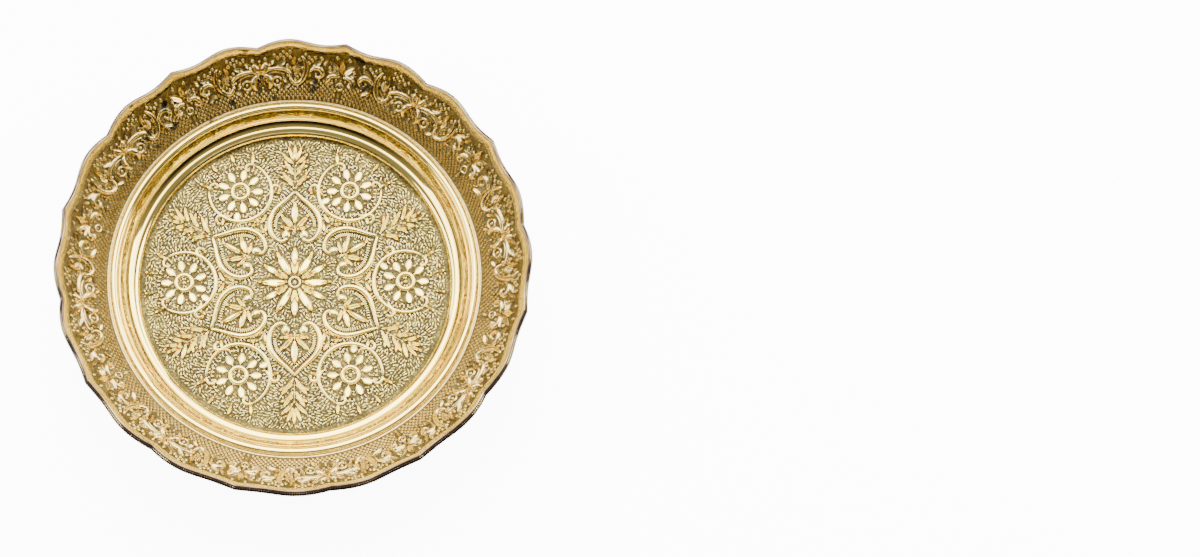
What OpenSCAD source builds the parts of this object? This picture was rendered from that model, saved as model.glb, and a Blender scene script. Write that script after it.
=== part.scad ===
// Round brass tray with an embossed floor, a turned foot ring, a spun well moulding,
// a sloping border and a scalloped, reeded edge laid on in eight mitred lengths.
// Origin: bottom centre of the foot. +Z up. One inward cusp of the edge lies on +X.

/* [Tray] */
// Mean radius over the edge strips
tray_r = 126.2; // [118:0.1:155]
// Height of the edge's crest above the floor, at its mean radius
border_h = 40.2; // [32:0.1:52]
// Hollow of the border below the straight line from bead to crest
border_sag = 2.4; // [0.8:0.1:5]
// Thickness of the border sheet
border_t = 1.2; // [0.8:0.1:2]

/* [Floor] */
// Radius of the embossed centre plate's place
floor_r = 84.4; // [70:0.1:88]
// Thickness of the centre plate
plate_t = 1.2; // [0.8:0.1:2]
// Width of the seat under the plate's edge
seat_w = 4; // [2.5:0.1:6]
// Thickness of that seat
seat_t = 1; // [0.8:0.1:2]

/* [Foot] */
// Height of the foot below the seat
foot_h = 1.2; // [0.8:0.1:4]
// Distance from the plate's edge inwards to the foot's inner wall
foot_in = 1.8; // [0.5:0.1:2.4]
// Width of the foot's flat face
foot_w = 5; // [3.2:0.1:6]
// Slant of the foot's outer side
foot_slant = 0.8; // [0:0.1:1.5]

/* [Well moulding] */
// Height of the little upright lip round the plate
lip_h = 0.6; // [0.3:0.1:1]
// Width of the rounded ledge
ledge_w = 5; // [4:0.1:7]
// Height of the ledge's outer side above the floor
ledge_h = 3.9; // [2.5:0.1:6]
// Swell of the ledge above a straight slope
ledge_swell = 0.9; // [0.4:0.1:1.3]
// Width of the cove above the ledge, seen from above
cove_w = 6; // [4:0.1:9]
// Height of the cove's top above the floor
cove_h = 12.4; // [10:0.1:16]
// Hollow of the cove
cove_sag = 1; // [0.4:0.1:1.6]
// Depth of the sharp quirks beside the cove
quirk = 0.3; // [0.1:0.05:0.5]
// Width of the rounded bead
bead_w = 4.6; // [3.5:0.1:6]
// Swell of the bead above the line between its sides
bead_swell = 1.8; // [1:0.1:1.9]
// Height of the bead's outer side above the cove
bead_out = 1.2; // [0.6:0.1:1.4]
// Wall thickness of the moulding
wall_t = 1.6; // [1.2:0.1:2]

/* [Border seat] */
// Length of the well ring's flange under the border
flange_l = 4; // [3:0.1:6]
// Thickness of that flange
flange_t = 1; // [0.8:0.1:1.5]
// Solder film between pieces that lap or butt
film = 0.06; // [0.03:0.01:0.1]
// Leg of the solder fillets
fillet = 1.2; // [0.6:0.1:1.4]

/* [Edge] */
// Number of scalloped sectors, one strip each
sectors = 8; // [8]
// Width of the edge strip, seen from above
edge_w = 2; // [1.6:0.1:3]
// Height of the strip's crest above the border
crest_h = 0.5; // [0.2:0.1:1]
// Drop from the border's edge to the strip's outer corner
edge_drop = 2.3; // [1.5:0.1:3]
// Full depth of the strip below the border's edge
edge_depth = 3.2; // [2.9:0.1:4.5]
// Depth of the inward cusps
cusp_in = 1.1; // [0.4:0.1:1.8]
// Swell of the lobes beside each cusp
lobe_out = 0.9; // [0.3:0.1:1.5]
// Depth of the dips beside each outward point
dip_in = 0.6; // [0.2:0.1:1.2]
// Reach of the outward points
point_out = 0.9; // [0.3:0.1:1.5]

/* [Hidden] */
$fn = 96;
brass = [0.80, 0.66, 0.38];
polished_brass = [0.86, 0.76, 0.50];
dark_brass = [0.42, 0.32, 0.24];
solder = [0.62, 0.60, 0.52];

seat_z = foot_h + seat_t;
floor_z = seat_z + plate_t;
ledge_r = floor_r + ledge_w;
cove_r = ledge_r + cove_w;
bead_r = cove_r + bead_w;
cove_top = floor_z + cove_h;
bead_edge_z = cove_top + bead_out;

// A lobe's top and a dip's bottom, as fractions of half a sector from the cusp
lobe_at = 0.356;
dip_at = 0.733;
half_sector = 180 / sectors;
steps = 24;
arc_steps = 10;

// Points of a shallow arc from p to q that swells by s to the left of p->q.
function arc_points(p, q, s, n = arc_steps) =
    let (c = norm(q - p), r = (c * c / 4 + s * s) / (2 * abs(s)),
         u = (q - p) / c, v = [-u.y, u.x] * sign(s), h = asin(c / 2 / r))
    [for (i = [0:n]) let (a = -h + 2 * h * i / n)
        (p + q) / 2 + u * r * sin(a) + v * (r * cos(a) - r * cos(h))];

// The border's upper face is an arc of revolution, hollow upwards.
border_foot = [bead_r, bead_edge_z];
border_crest = [tray_r - edge_w, floor_z + border_h];
border_chord = norm(border_crest - border_foot);
border_arc_r = (border_chord * border_chord / 4 + border_sag * border_sag) / (2 * border_sag);
border_dir = (border_crest - border_foot) / border_chord;
border_centre = (border_foot + border_crest) / 2
    + [-border_dir.y, border_dir.x] * (border_arc_r - border_sag);

// Height and slope angle at radius r of the border's face, or of a face below it.
function border_z(r, off = 0) =
    border_centre.y - sqrt(pow(border_arc_r + off, 2) - pow(r - border_centre.x, 2));
function border_angle(r, off) = asin((r - border_centre.x) / (border_arc_r + off));
function border_point(a, off) = border_centre + (border_arc_r + off) * [sin(a), -cos(a)];
function border_arc(a0, a1, off, n = arc_steps) =
    [for (i = [0:n]) border_point(a0 + (a1 - a0) * i / n, off)];

// Radius of the scalloped outline at an angle: cusp, lobe, dip and outward point.
function scallop(t) =
    t <= lobe_at ? -cusp_in + (cusp_in + lobe_out) * sin(90 * t / lobe_at)
    : t <= dip_at ? (lobe_out - dip_in) / 2
        + (lobe_out + dip_in) / 2 * cos(180 * (t - lobe_at) / (dip_at - lobe_at))
    : -dip_in + (dip_in + point_out) * (1 - cos(90 * (t - dip_at) / (1 - dip_at)));
function outline_r(i) = tray_r + scallop(abs(2 * i / steps - 1));
function station_angle(k, i) = (k - 0.5 + i / steps) * 2 * half_sector;
function ring_points(inset) = [for (k = [1:sectors]) for (i = [0:steps - 1])
    (outline_r(i) - inset) * [cos(station_angle(k, i)), sin(station_angle(k, i))]];

// Sweeps a section along one sector's edge. The section is a function of the radius
// where the strip meets the border; its points are [outwards, up] from that place.
module edge_sweep(k, section) {
    n = len(section(tray_r));
    points = [for (i = [0:steps]) let (a = station_angle(k, i), base = outline_r(i) - edge_w)
        for (p = section(base))
        [(base + p.x) * cos(a), (base + p.x) * sin(a), border_z(base) + p.y]];
    sides = [for (i = [0:steps - 1]) for (j = [0:n - 1])
        let (a = i * n + j, b = i * n + (j + 1) % n)
        each [[a, b + n, b], [a, a + n, b + n]]];
    caps = [for (j = [1:n - 2]) each [[0, j, j + 1],
        [steps * n, steps * n + j + 1, steps * n + j]]];
    polyhedron(points, concat(sides, caps));
}

// One mitred length of the edge: a wedge with an upright back and a slanting face.
module edge_strip(k) {
    color(dark_brass) edge_sweep(k, function (base) [[0, crest_h], [0, -edge_depth],
        [edge_w * 0.6, -edge_depth], [edge_w, -edge_drop], [edge_w * 0.25, crest_h]]);
}

// Flat disc that is embossed all over and drops into the well ring's rebate.
module centre_plate() {
    color(brass) translate([0, 0, seat_z]) cylinder(r = floor_r - film, h = plate_t);
}

// Turned ring that the tray stands on; the plate and the well ring rest on its top.
module foot_ring() {
    foot_r = floor_r - foot_in;
    color(brass) rotate_extrude() polygon([[floor_r - seat_w, foot_h], [foot_r, foot_h],
        [foot_r, 0], [foot_r + foot_w, 0], [foot_r + foot_w + foot_slant, seat_z],
        [floor_r - seat_w, seat_z]]);
}

// Spun shell: rounded ledge round the plate, cove, bead and the flange under the border.
module well_ring() {
    flange_a0 = border_angle(bead_r, border_t + film);
    flange_a1 = border_angle(bead_r + flange_l, border_t + film);
    flange_top = border_arc(flange_a1, flange_a0, border_t + film);
    flange_under = border_arc(flange_a0, flange_a1, border_t + film + flange_t);
    ledge = arc_points([ledge_r - quirk, floor_z + ledge_h], [floor_r, floor_z + lip_h],
        -ledge_swell);
    ledge_under = arc_points([floor_r + wall_t, floor_z + lip_h - wall_t / 2],
        [ledge_r - quirk, floor_z + ledge_h - wall_t], ledge_swell / 2);
    cove = arc_points([cove_r - quirk, cove_top], [ledge_r, floor_z + ledge_h - quirk], cove_sag);
    cove_under = arc_points([ledge_r + wall_t, floor_z + ledge_h - wall_t / 2],
        [cove_r + wall_t, cove_top - wall_t], -cove_sag);
    bead = arc_points([bead_r, bead_edge_z], [cove_r, cove_top + quirk], -bead_swell);
    color(polished_brass) rotate_extrude() polygon(concat(
        [[floor_r, seat_z], [floor_r + wall_t, seat_z]],
        ledge_under, cove_under, flange_under, flange_top, bead, cove, ledge));
}

// Embossed sheet that slopes up from the bead and is cut to the scalloped outline.
module border() {
    past_r = tray_r + lobe_out + point_out;
    inner_r = bead_r + film;
    color(brass) intersection() {
        rotate_extrude() polygon(concat(
            border_arc(border_angle(inner_r, border_t), border_angle(past_r, border_t), border_t),
            border_arc(border_angle(past_r, 0), border_angle(inner_r, 0), 0)));
        linear_extrude(floor_z + 2 * border_h) polygon(ring_points(edge_w + film));
    }
}

// Solder run under the plate, in the corner of its seat.
module plate_solder() {
    seat_r = floor_r - seat_w;
    color(solder) rotate_extrude() polygon([[seat_r, seat_z], [seat_r - fillet, seat_z],
        [seat_r, seat_z - fillet * 0.7]]);
}

// Solder run round the well ring's wall, on the foot ring's top.
module foot_solder() {
    wall_r = floor_r + wall_t;
    color(solder) rotate_extrude() polygon([[wall_r, seat_z], [wall_r + fillet, seat_z],
        [wall_r, seat_z + fillet * 0.8]]);
}

// Solder run under the border, at the tip of the well ring's flange.
module border_solder() {
    tip_a = border_angle(bead_r + flange_l, border_t + film);
    run_a = border_angle(bead_r + flange_l + fillet, border_t + film);
    color(solder) rotate_extrude() polygon([border_point(tip_a, border_t + film),
        border_point(tip_a, border_t + film + flange_t),
        border_point(run_a, border_t + film)]);
}

// Solder runs behind the edge strips, in the corner under the border's edge.
module edge_solder() {
    inner = film + fillet / 2;
    color(solder) for (k = [1:sectors])
        edge_sweep(k, function (base) let (top = border_z(base))
            [[-film, border_z(base, border_t + 2 * film) - top],
             [-inner, border_z(base - inner, border_t + 2 * film) - top],
             [-film, border_z(base, border_t + 2 * film) - top - fillet]]);
}

centre_plate();
foot_ring();
well_ring();
border();
edge_strip(1);  // edge_strip_1
edge_strip(2);  // edge_strip_2
edge_strip(3);  // edge_strip_3
edge_strip(4);  // edge_strip_4
edge_strip(5);  // edge_strip_5
edge_strip(6);  // edge_strip_6
edge_strip(7);  // edge_strip_7
edge_strip(8);  // edge_strip_8
plate_solder();
foot_solder();
border_solder();
edge_solder();
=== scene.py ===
"""Embossed brass tray: raised ornament on floor and border, polished well ring, reeded edge.

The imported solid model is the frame. Every visible piece is rebuilt here in the same place
at the same size, in metres, and given its own finish. Flat layouts are drawn in millimetres
and turned into metres by MM when their meshes are made.
"""

import logging
import math
from collections.abc import Callable, Iterable, Sequence
from dataclasses import dataclass, field
from enum import Enum

import bpy
import numpy as np
from mathutils import Matrix, Vector


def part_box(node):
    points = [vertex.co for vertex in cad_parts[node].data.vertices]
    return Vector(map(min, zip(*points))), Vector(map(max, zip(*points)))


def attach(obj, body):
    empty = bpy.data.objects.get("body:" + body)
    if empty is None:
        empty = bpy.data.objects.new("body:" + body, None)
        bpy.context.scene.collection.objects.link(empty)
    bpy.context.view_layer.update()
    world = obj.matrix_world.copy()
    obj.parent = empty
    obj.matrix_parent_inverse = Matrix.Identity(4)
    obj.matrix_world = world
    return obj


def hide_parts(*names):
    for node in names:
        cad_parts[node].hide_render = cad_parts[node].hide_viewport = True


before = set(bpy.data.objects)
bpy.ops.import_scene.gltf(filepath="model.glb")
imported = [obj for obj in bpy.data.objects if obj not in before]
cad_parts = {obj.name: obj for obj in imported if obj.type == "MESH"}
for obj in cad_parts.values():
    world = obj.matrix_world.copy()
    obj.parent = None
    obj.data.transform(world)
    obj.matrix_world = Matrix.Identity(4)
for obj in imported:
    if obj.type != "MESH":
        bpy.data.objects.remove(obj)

LOG = logging.getLogger("tray")
MM = 0.001
FULL_TURN = 2 * math.pi
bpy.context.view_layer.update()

Point = tuple[float, float]
Path2 = list[Point]


# ---------------------------------------------------------------- node building


class Expr:
    """A node's output that takes part in sums; each operator adds one Math node."""

    def __init__(self, kit: "NodeKit", socket: bpy.types.NodeSocket) -> None:
        self.kit = kit
        self.socket = socket

    def math(self, operation: str, *others: "Expr | float", swap: bool = False) -> "Expr":
        """Adds a Math node.

        Args:
            operation: the Math node's operation.
            others: the values after this one.
            swap: puts this value second instead of first.

        Returns:
            The Math node's value.
        """
        values = [*others, self] if swap else [self, *others]
        return self.kit.node(
            "ShaderNodeMath", {"operation": operation}, dict(enumerate(values))
        )

    def __add__(self, other: "Expr | float") -> "Expr":
        """self + other."""
        return self.math("ADD", other)

    __radd__ = __add__

    def __sub__(self, other: "Expr | float") -> "Expr":
        """self - other."""
        return self.math("SUBTRACT", other)

    def __rsub__(self, other: "Expr | float") -> "Expr":
        """other - self."""
        return self.math("SUBTRACT", other, swap=True)

    def __mul__(self, other: "Expr | float") -> "Expr":
        """self * other."""
        return self.math("MULTIPLY", other)

    __rmul__ = __mul__

    def __truediv__(self, other: "Expr | float") -> "Expr":
        """self / other."""
        return self.math("DIVIDE", other)

    def __rtruediv__(self, other: "Expr | float") -> "Expr":
        """other / self."""
        return self.math("DIVIDE", other, swap=True)

    def __pow__(self, other: "Expr | float") -> "Expr":
        """self ** other."""
        return self.math("POWER", other)

    def clamped(self) -> "Expr":
        """The value held between 0 and 1."""
        return self.math("MAXIMUM", 0.0).math("MINIMUM", 1.0)

    def ramp(self, low: float, high: float) -> "Expr":
        """0 at low, 1 at high, with a smooth start and end."""
        return self.kit.node(
            "ShaderNodeMapRange",
            {"interpolation_type": "SMOOTHSTEP"},
            {"Value": self, "From Min": low, "From Max": high},
        )

    def also(self, name: str) -> "Expr":
        """Another output of the same node."""
        return Expr(self.kit, self.socket.node.outputs[name])


@dataclass
class NodeKit:
    """Builds one node tree; every node comes from its one method, node()."""

    tree: bpy.types.NodeTree

    def node(self, kind: str, settings: dict | None = None, inputs: dict | None = None) -> Expr:
        """Adds a node.

        Args:
            kind: the node's type.
            settings: properties set first, such as an operation or a ramp's stops.
            inputs: values or links, by a socket's name or its place.

        Returns:
            The node's first shown output.
        """
        made = self.tree.nodes.new(kind)
        for name, value in (settings or {}).items():
            if name == "stops":
                self._set_stops(made.color_ramp, value)
            else:
                setattr(made, name, value)
        for key, value in (inputs or {}).items():
            socket = self._input(made, key)
            if isinstance(value, Expr):
                self.tree.links.new(value.socket, socket)
            else:
                socket.default_value = value
        return Expr(self, next(s for s in made.outputs if s.enabled))

    @staticmethod
    def _input(made: bpy.types.Node, key: str | int) -> bpy.types.NodeSocket:
        """The node's input of that place or shown name.

        Args:
            made: the node.
            key: the input's place or shown name.

        Returns:
            The input.
        """
        if isinstance(key, int):
            return made.inputs[key]
        return next(s for s in made.inputs if s.enabled and s.name == key)

    @staticmethod
    def _set_stops(ramp: bpy.types.ColorRamp, stops: Sequence[tuple[float, tuple]]) -> None:
        """Gives a colour ramp its stops, each a place and a colour.

        Args:
            ramp: the ramp.
            stops: a place and a colour each.
        """
        while len(ramp.elements) < len(stops):
            ramp.elements.new(1.0)
        for element, (place, colour) in zip(ramp.elements, stops):
            element.position = place
            element.color = (*colour, 1.0)

    def vector(self, operation: str, *values: "Expr | tuple | float") -> Expr:
        """Adds a Vector Math node."""
        return self.node(
            "ShaderNodeVectorMath", {"operation": operation}, dict(enumerate(values))
        )

    def xyz(self, x: "Expr | float", y: "Expr | float", z: "Expr | float") -> Expr:
        """Joins three numbers to a vector."""
        return self.node("ShaderNodeCombineXYZ", {}, {"X": x, "Y": y, "Z": z})

    def split(self, vector: Expr) -> tuple[Expr, Expr, Expr]:
        """A vector's three numbers."""
        x = self.node("ShaderNodeSeparateXYZ", {}, {"Vector": vector})
        return x, x.also("Y"), x.also("Z")


class GrowTree(NodeKit):
    """A geometry tree with named inputs that ends in Realize Instances and Set Material."""

    def __init__(self, name: str) -> None:
        """Starts an empty tree with one geometry input.

        Args:
            name: the tree's name.
        """
        super().__init__(bpy.data.node_groups.new(name, "GeometryNodeTree"))
        sockets = self.tree.interface
        sockets.new_socket("Geometry", in_out="INPUT", socket_type="NodeSocketGeometry")
        sockets.new_socket("Geometry", in_out="OUTPUT", socket_type="NodeSocketGeometry")
        self.entry = self.tree.nodes.new("NodeGroupInput")
        self.places: dict[str, str] = {}

    @property
    def geometry(self) -> Expr:
        """The geometry the tree is given."""
        return Expr(self, self.entry.outputs["Geometry"])

    def given(self, name: str, kind: str = "Float") -> Expr:
        """Adds a named input and returns it.

        Args:
            name: the input's name.
            kind: its socket type, without NodeSocket in front.

        Returns:
            The input's value.
        """
        made = self.tree.interface.new_socket(
            name, in_out="INPUT", socket_type=f"NodeSocket{kind}"
        )
        self.places[name] = made.identifier
        return Expr(self, self.entry.outputs[name])

    def attribute(self, name: str, kind: str = "FLOAT") -> Expr:
        """Reads a named attribute."""
        return self.node("GeometryNodeInputNamedAttribute", {"data_type": kind}, {"Name": name})

    def store(self, geometry: Expr, name: str, value: Expr) -> Expr:
        """Writes a number to each point."""
        return self.node(
            "GeometryNodeStoreNamedAttribute",
            {"data_type": "FLOAT", "domain": "POINT"},
            {"Geometry": geometry, "Name": name, "Value": value},
        )

    def close(self, geometry: Expr) -> "GrowTree":
        """Ends the tree with realised geometry and a material.

        Args:
            geometry: what the tree has made.

        Returns:
            The tree itself, ready to run.
        """
        solid = self.node("GeometryNodeRealizeInstances", {}, {"Geometry": geometry})
        dressed = self.node(
            "GeometryNodeSetMaterial", {},
            {"Geometry": solid, "Material": self.given("Finish", "Material")},
        )
        out = self.tree.nodes.new("NodeGroupOutput")
        self.tree.links.new(dressed.socket, out.inputs[0])
        return self

    def grow(self, base: bpy.types.Object, name: str, **values: object) -> bpy.types.Object:
        """Runs the tree on an object and keeps the result as a plain mesh.

        Args:
            base: the object that the tree starts from; it is removed afterwards.
            name: the new object's name.
            values: the tree's inputs by name, with _ for a space.

        Returns:
            The new object, without modifiers.
        """
        modifier = base.modifiers.new(self.tree.name, "NODES")
        modifier.node_group = self.tree
        for label, value in values.items():
            modifier[self.places[label.replace("_", " ")]] = value
        bpy.context.view_layer.update()
        graph = bpy.context.evaluated_depsgraph_get()
        mesh = bpy.data.meshes.new_from_object(base.evaluated_get(graph), depsgraph=graph)
        bpy.data.objects.remove(base)
        return link(name, mesh)


# ---------------------------------------------------------------- plain meshes


def link(name: str, mesh: bpy.types.Mesh) -> bpy.types.Object:
    """Puts a mesh in the scene as an object at the origin.

    Args:
        name: the object's name.
        mesh: its mesh.

    Returns:
        The new object.
    """
    mesh.name = name
    made = bpy.data.objects.new(name, mesh)
    bpy.context.scene.collection.objects.link(made)
    return made


def mesh_object(
    name: str,
    points: np.ndarray,
    faces: Sequence[Sequence[int]] = (),
    edges: Sequence[Sequence[int]] = (),
    **attributes: np.ndarray,
) -> bpy.types.Object:
    """Makes an object of points, faces or edges.

    Args:
        name: the object's name.
        points: one row of x, y, z each, in metres.
        faces: the points of each face.
        edges: the points of each loose edge.
        attributes: numbers or vectors for each point, by attribute name.

    Returns:
        The new object.
    """
    mesh = bpy.data.meshes.new(name)
    mesh.from_pydata(np.asarray(points, float).tolist(), list(edges), list(faces))
    for label, values in attributes.items():
        vector = np.ndim(values) == 2
        layer = mesh.attributes.new(label, "FLOAT_VECTOR" if vector else "FLOAT", "POINT")
        layer.data.foreach_set("vector" if vector else "value", np.ravel(values))
    mesh.update()
    return link(name, mesh)


def joined(name: str, pieces: Sequence[bpy.types.Object]) -> bpy.types.Object:
    """Joins objects to one, under a new name.

    Args:
        name: the new name.
        pieces: the objects; the first takes in the others.

    Returns:
        The one object.
    """
    first = pieces[0]
    if len(pieces) > 1:
        with bpy.context.temp_override(
            active_object=first, object=first, selected_editable_objects=list(pieces)
        ):
            bpy.ops.object.join()
    first.name = first.data.name = name
    return first


def shade(piece: bpy.types.Object, crease_deg: float) -> None:
    """Shades a mesh smooth, with edges sharper than an angle left crisp.

    Args:
        piece: the object to shade.
        crease_deg: edges sharper than this stay crisp.
    """
    mesh = piece.data
    mesh.polygons.foreach_set("use_smooth", [True] * len(mesh.polygons))
    mesh.set_sharp_from_angle(angle=math.radians(crease_deg))


def smooth_path(guides: Sequence[Point], pitch: float) -> Path2:
    """Runs a smooth curve through guide points.

    Args:
        guides: the points it passes through.
        pitch: about how far apart the returned points are.

    Returns:
        The curve's points.
    """
    g = np.array(guides, float)
    last = len(g) - 1
    out: Path2 = []
    for i in range(last):
        p0, p1, p2, p3 = g[max(i - 1, 0)], g[i], g[i + 1], g[min(i + 2, last)]
        steps = max(2, round(float(np.linalg.norm(p2 - p1)) / pitch))
        for t in np.arange(steps) / steps:
            bend = (2 * p0 - 5 * p1 + 4 * p2 - p3) * t * t + (3 * p1 - p0 - 3 * p2 + p3) * t**3
            out.append(tuple(0.5 * (2 * p1 + (p2 - p0) * t + bend)))
    out.append(tuple(g[-1]))
    return out


def arc_path(centre: Point, radius: float, start: float, end: float, pitch: float) -> Path2:
    """Points along a round arc, angles in degrees.

    Args:
        centre: the arc's centre.
        radius: its radius.
        start: angle of the first point, counter-clockwise from +X.
        end: angle of the last point.
        pitch: about how far apart the points are.

    Returns:
        The arc's points, both ends included.
    """
    steps = max(3, round(abs(math.radians(end - start)) * radius / pitch))
    angles = np.radians(np.linspace(start, end, steps + 1))
    return [(centre[0] + radius * math.cos(a), centre[1] + radius * math.sin(a)) for a in angles]


def polar(radius: float, turn: float) -> Point:
    """The point at a radius, turned clockwise from +Y in degrees."""
    return (radius * math.sin(math.radians(turn)), radius * math.cos(math.radians(turn)))


# ---------------------------------------------------------------- raised work


class Motif(Enum):
    """The punches: each is one small raised shape, one unit long, wide and high."""

    LEAF = "leaf"
    PETAL = "petal"
    KNOB = "knob"
    DASH = "dash"
    DIAMOND = "diamond"
    REED = "reed"


@dataclass(frozen=True)
class Punch:
    """One punch's form: rows across its length, and heights from its middle to its side."""

    rows: int
    heights: tuple[float, ...]
    breadth: Callable[[float], float]
    lift: Callable[[float], float]
    sink: float = 0.35

    def solid(self, name: str) -> bpy.types.Object:
        """Builds the closed unit shape from (0, 0) to (0, 1), standing on z = 0.

        Args:
            name: the object's name.

        Returns:
            The punch.
        """
        side = len(self.heights) - 1
        across = np.linspace(-1, 1, 2 * side + 1)
        points = [(0.0, 0.0, -self.sink)]
        for row in range(1, self.rows + 1):
            v = (1 - math.cos(math.pi * row / (self.rows + 1))) / 2
            for u in across:
                edge = abs(u) > 0.999
                high = self.heights[round(abs(u) * side)] * self.lift(v)
                points.append((u * self.breadth(v) / 2, v, -self.sink if edge else high))
        points.append((0.0, 1.0, -self.sink))
        wide, last = len(across), len(points) - 1
        faces = [(0, 1 + i + 1, 1 + i) for i in range(wide - 1)]
        for row in range(self.rows - 1):
            a = 1 + row * wide
            faces += [(a + i, a + i + 1, a + wide + i + 1, a + wide + i) for i in range(wide - 1)]
        a = 1 + (self.rows - 1) * wide
        faces += [(a + i, a + i + 1, last) for i in range(wide - 1)]
        left = [1 + row * wide for row in range(self.rows)]
        right = [row + wide - 1 for row in left]
        faces.append((0, *left, last, *reversed(right)))
        return mesh_object(name, np.array(points), faces)


PUNCHES = {
    Motif.LEAF: Punch(
        6, (0.95, 0.66, 1.0, 0.0), lambda v: math.sin(math.pi * v**0.9), lambda v: 1.0
    ),
    Motif.PETAL: Punch(
        5, (0.85, 1.0, 0.0), lambda v: (1 - (2 * v - 1) ** 2) ** 0.5, lambda v: 0.8 + 0.2 * v
    ),
    Motif.KNOB: Punch(
        5, (1.0, 0.78, 0.0), lambda v: (1 - (2 * v - 1) ** 2) ** 0.5,
        lambda v: (1 - (2 * v - 1) ** 2) ** 0.4,
    ),
    Motif.DASH: Punch(2, (1.0, 0.9, 0.0), lambda v: math.sin(math.pi * v) ** 0.4, lambda v: 1.0),
    Motif.DIAMOND: Punch(
        3, (1.0, 0.62, 0.0), lambda v: 1 - abs(2 * v - 1) ** 1.15,
        lambda v: 1 - 0.35 * abs(2 * v - 1),
    ),
    Motif.REED: Punch(4, (1.0, 0.8, 0.0), lambda v: 1.0, lambda v: 1.0),
}


@dataclass
class Pattern:
    """A flat layout of ridges and punched shapes, in millimetres."""

    ridges: list[tuple[Path2, tuple[float, float, float]]] = field(default_factory=list)
    stamps: dict[Motif, list[tuple[float, ...]]] = field(
        default_factory=lambda: {motif: [] for motif in Motif}
    )

    def ridge(self, path: Path2, start: float, middle: float, end: float) -> None:
        """Adds a half-round ridge.

        Args:
            path: its centre line.
            start: breadth at the path's start.
            middle: breadth half way.
            end: breadth at the path's end.
        """
        self.ridges.append((path, (start, middle, end)))

    def stamp(
        self, motif: Motif, at: Point, turn: float, breadth: float, length: float, height: float
    ) -> None:
        """Punches one shape.

        Args:
            motif: which punch.
            at: where its foot goes.
            turn: its direction in degrees, clockwise from +Y.
            breadth: its full width.
            length: its length from foot to tip.
            height: how far it stands up.
        """
        self.stamps[motif].append((*at, turn, breadth, length, height))

    def leaves(self, *rows: tuple[float, ...]) -> None:
        """Punches leaves, each given by x, y, turn, breadth, length and height."""
        for x, y, *size in rows:
            self.stamp(Motif.LEAF, (x, y), *size)

    def knob(self, at: Point, across: float, height: float) -> None:
        """Punches a round knob about a centre."""
        self.stamp(Motif.KNOB, (at[0], at[1] - across / 2), 0.0, across, across, height)

    def ring(self, centre: Point, radius: float, breadth: float) -> None:
        """Adds a round ridge that closes on itself."""
        path = arc_path(centre, radius, 0, 360, max(0.5, radius / 8))
        self.ridge(path, breadth, breadth, breadth)

    def add(self, other: "Pattern") -> None:
        """Takes in all of another layout.

        Args:
            other: the layout to take in.
        """
        self.ridges += other.ridges
        for motif, rows in other.stamps.items():
            self.stamps[motif] += rows

    def placed(self, at: Point, turn: float = 0.0, flip: bool = False) -> "Pattern":
        """A copy, flipped left to right if asked, turned clockwise in degrees, then moved.

        Args:
            at: where the layout's origin goes.
            turn: its turn, clockwise in degrees.
            flip: flips it left to right first.

        Returns:
            The new layout.
        """
        side = -1.0 if flip else 1.0
        cos, sin = math.cos(math.radians(turn)), math.sin(math.radians(turn))

        def moved(x: float, y: float) -> Point:
            """Where a point goes."""
            return (at[0] + side * x * cos + y * sin, at[1] - side * x * sin + y * cos)

        out = Pattern()
        out.ridges = [([moved(*p) for p in path], breadths) for path, breadths in self.ridges]
        for motif, rows in self.stamps.items():
            out.stamps[motif] = [
                (*moved(x, y), side * angle + turn, *size) for x, y, angle, *size in rows
            ]
        return out

    def doubled(self) -> "Pattern":
        """The layout with its mirror image across x = 0; shapes on that line stay single.

        Returns:
            The new layout.
        """
        out = self.placed((0, 0))
        mirror = self.placed((0, 0), flip=True)
        near = 0.15
        for path, breadths in mirror.ridges:
            across = [x for x, _ in path]
            if abs(max(across) + min(across)) > near:
                out.ridge(path, *breadths)
        for motif, rows in mirror.stamps.items():
            out.stamps[motif] += [row for row in rows if abs(row[0]) > near or row[2] % 180]
        return out

    def spots(self) -> np.ndarray:
        """Sample discs that cover the layout: rows of x, y and radius.

        Returns:
            The discs.
        """
        out = [
            (x, y, sum(breadths) / 6) for path, breadths in self.ridges for x, y in path[::2]
        ]
        for rows in self.stamps.values():
            for x, y, angle, breadth, length, _ in rows:
                a = math.radians(angle)
                for part in (0.2, 0.5, 0.8):
                    at = (x + length * part * math.sin(a), y + length * part * math.cos(a))
                    out.append((*at, min(breadth, length) * 0.45))
        return np.array(out)

    def free(self, wanted: np.ndarray, clearance: float, spots: np.ndarray) -> np.ndarray:
        """Picks the places that stay clear of raised work.

        Args:
            wanted: rows of x and y.
            clearance: least distance from any spot's rim.
            spots: rows of x, y and radius.

        Returns:
            Rows of x, y and the direction away from the nearest spot, in degrees.
        """
        gap = np.hypot(
            wanted[:, None, 0] - spots[None, :, 0], wanted[:, None, 1] - spots[None, :, 1]
        ) - spots[None, :, 2]
        nearest = spots[gap.argmin(axis=1)]
        away = np.degrees(np.arctan2(wanted[:, 0] - nearest[:, 0], wanted[:, 1] - nearest[:, 1]))
        clear = gap.min(axis=1) > clearance
        return np.column_stack([wanted, away])[clear]


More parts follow.
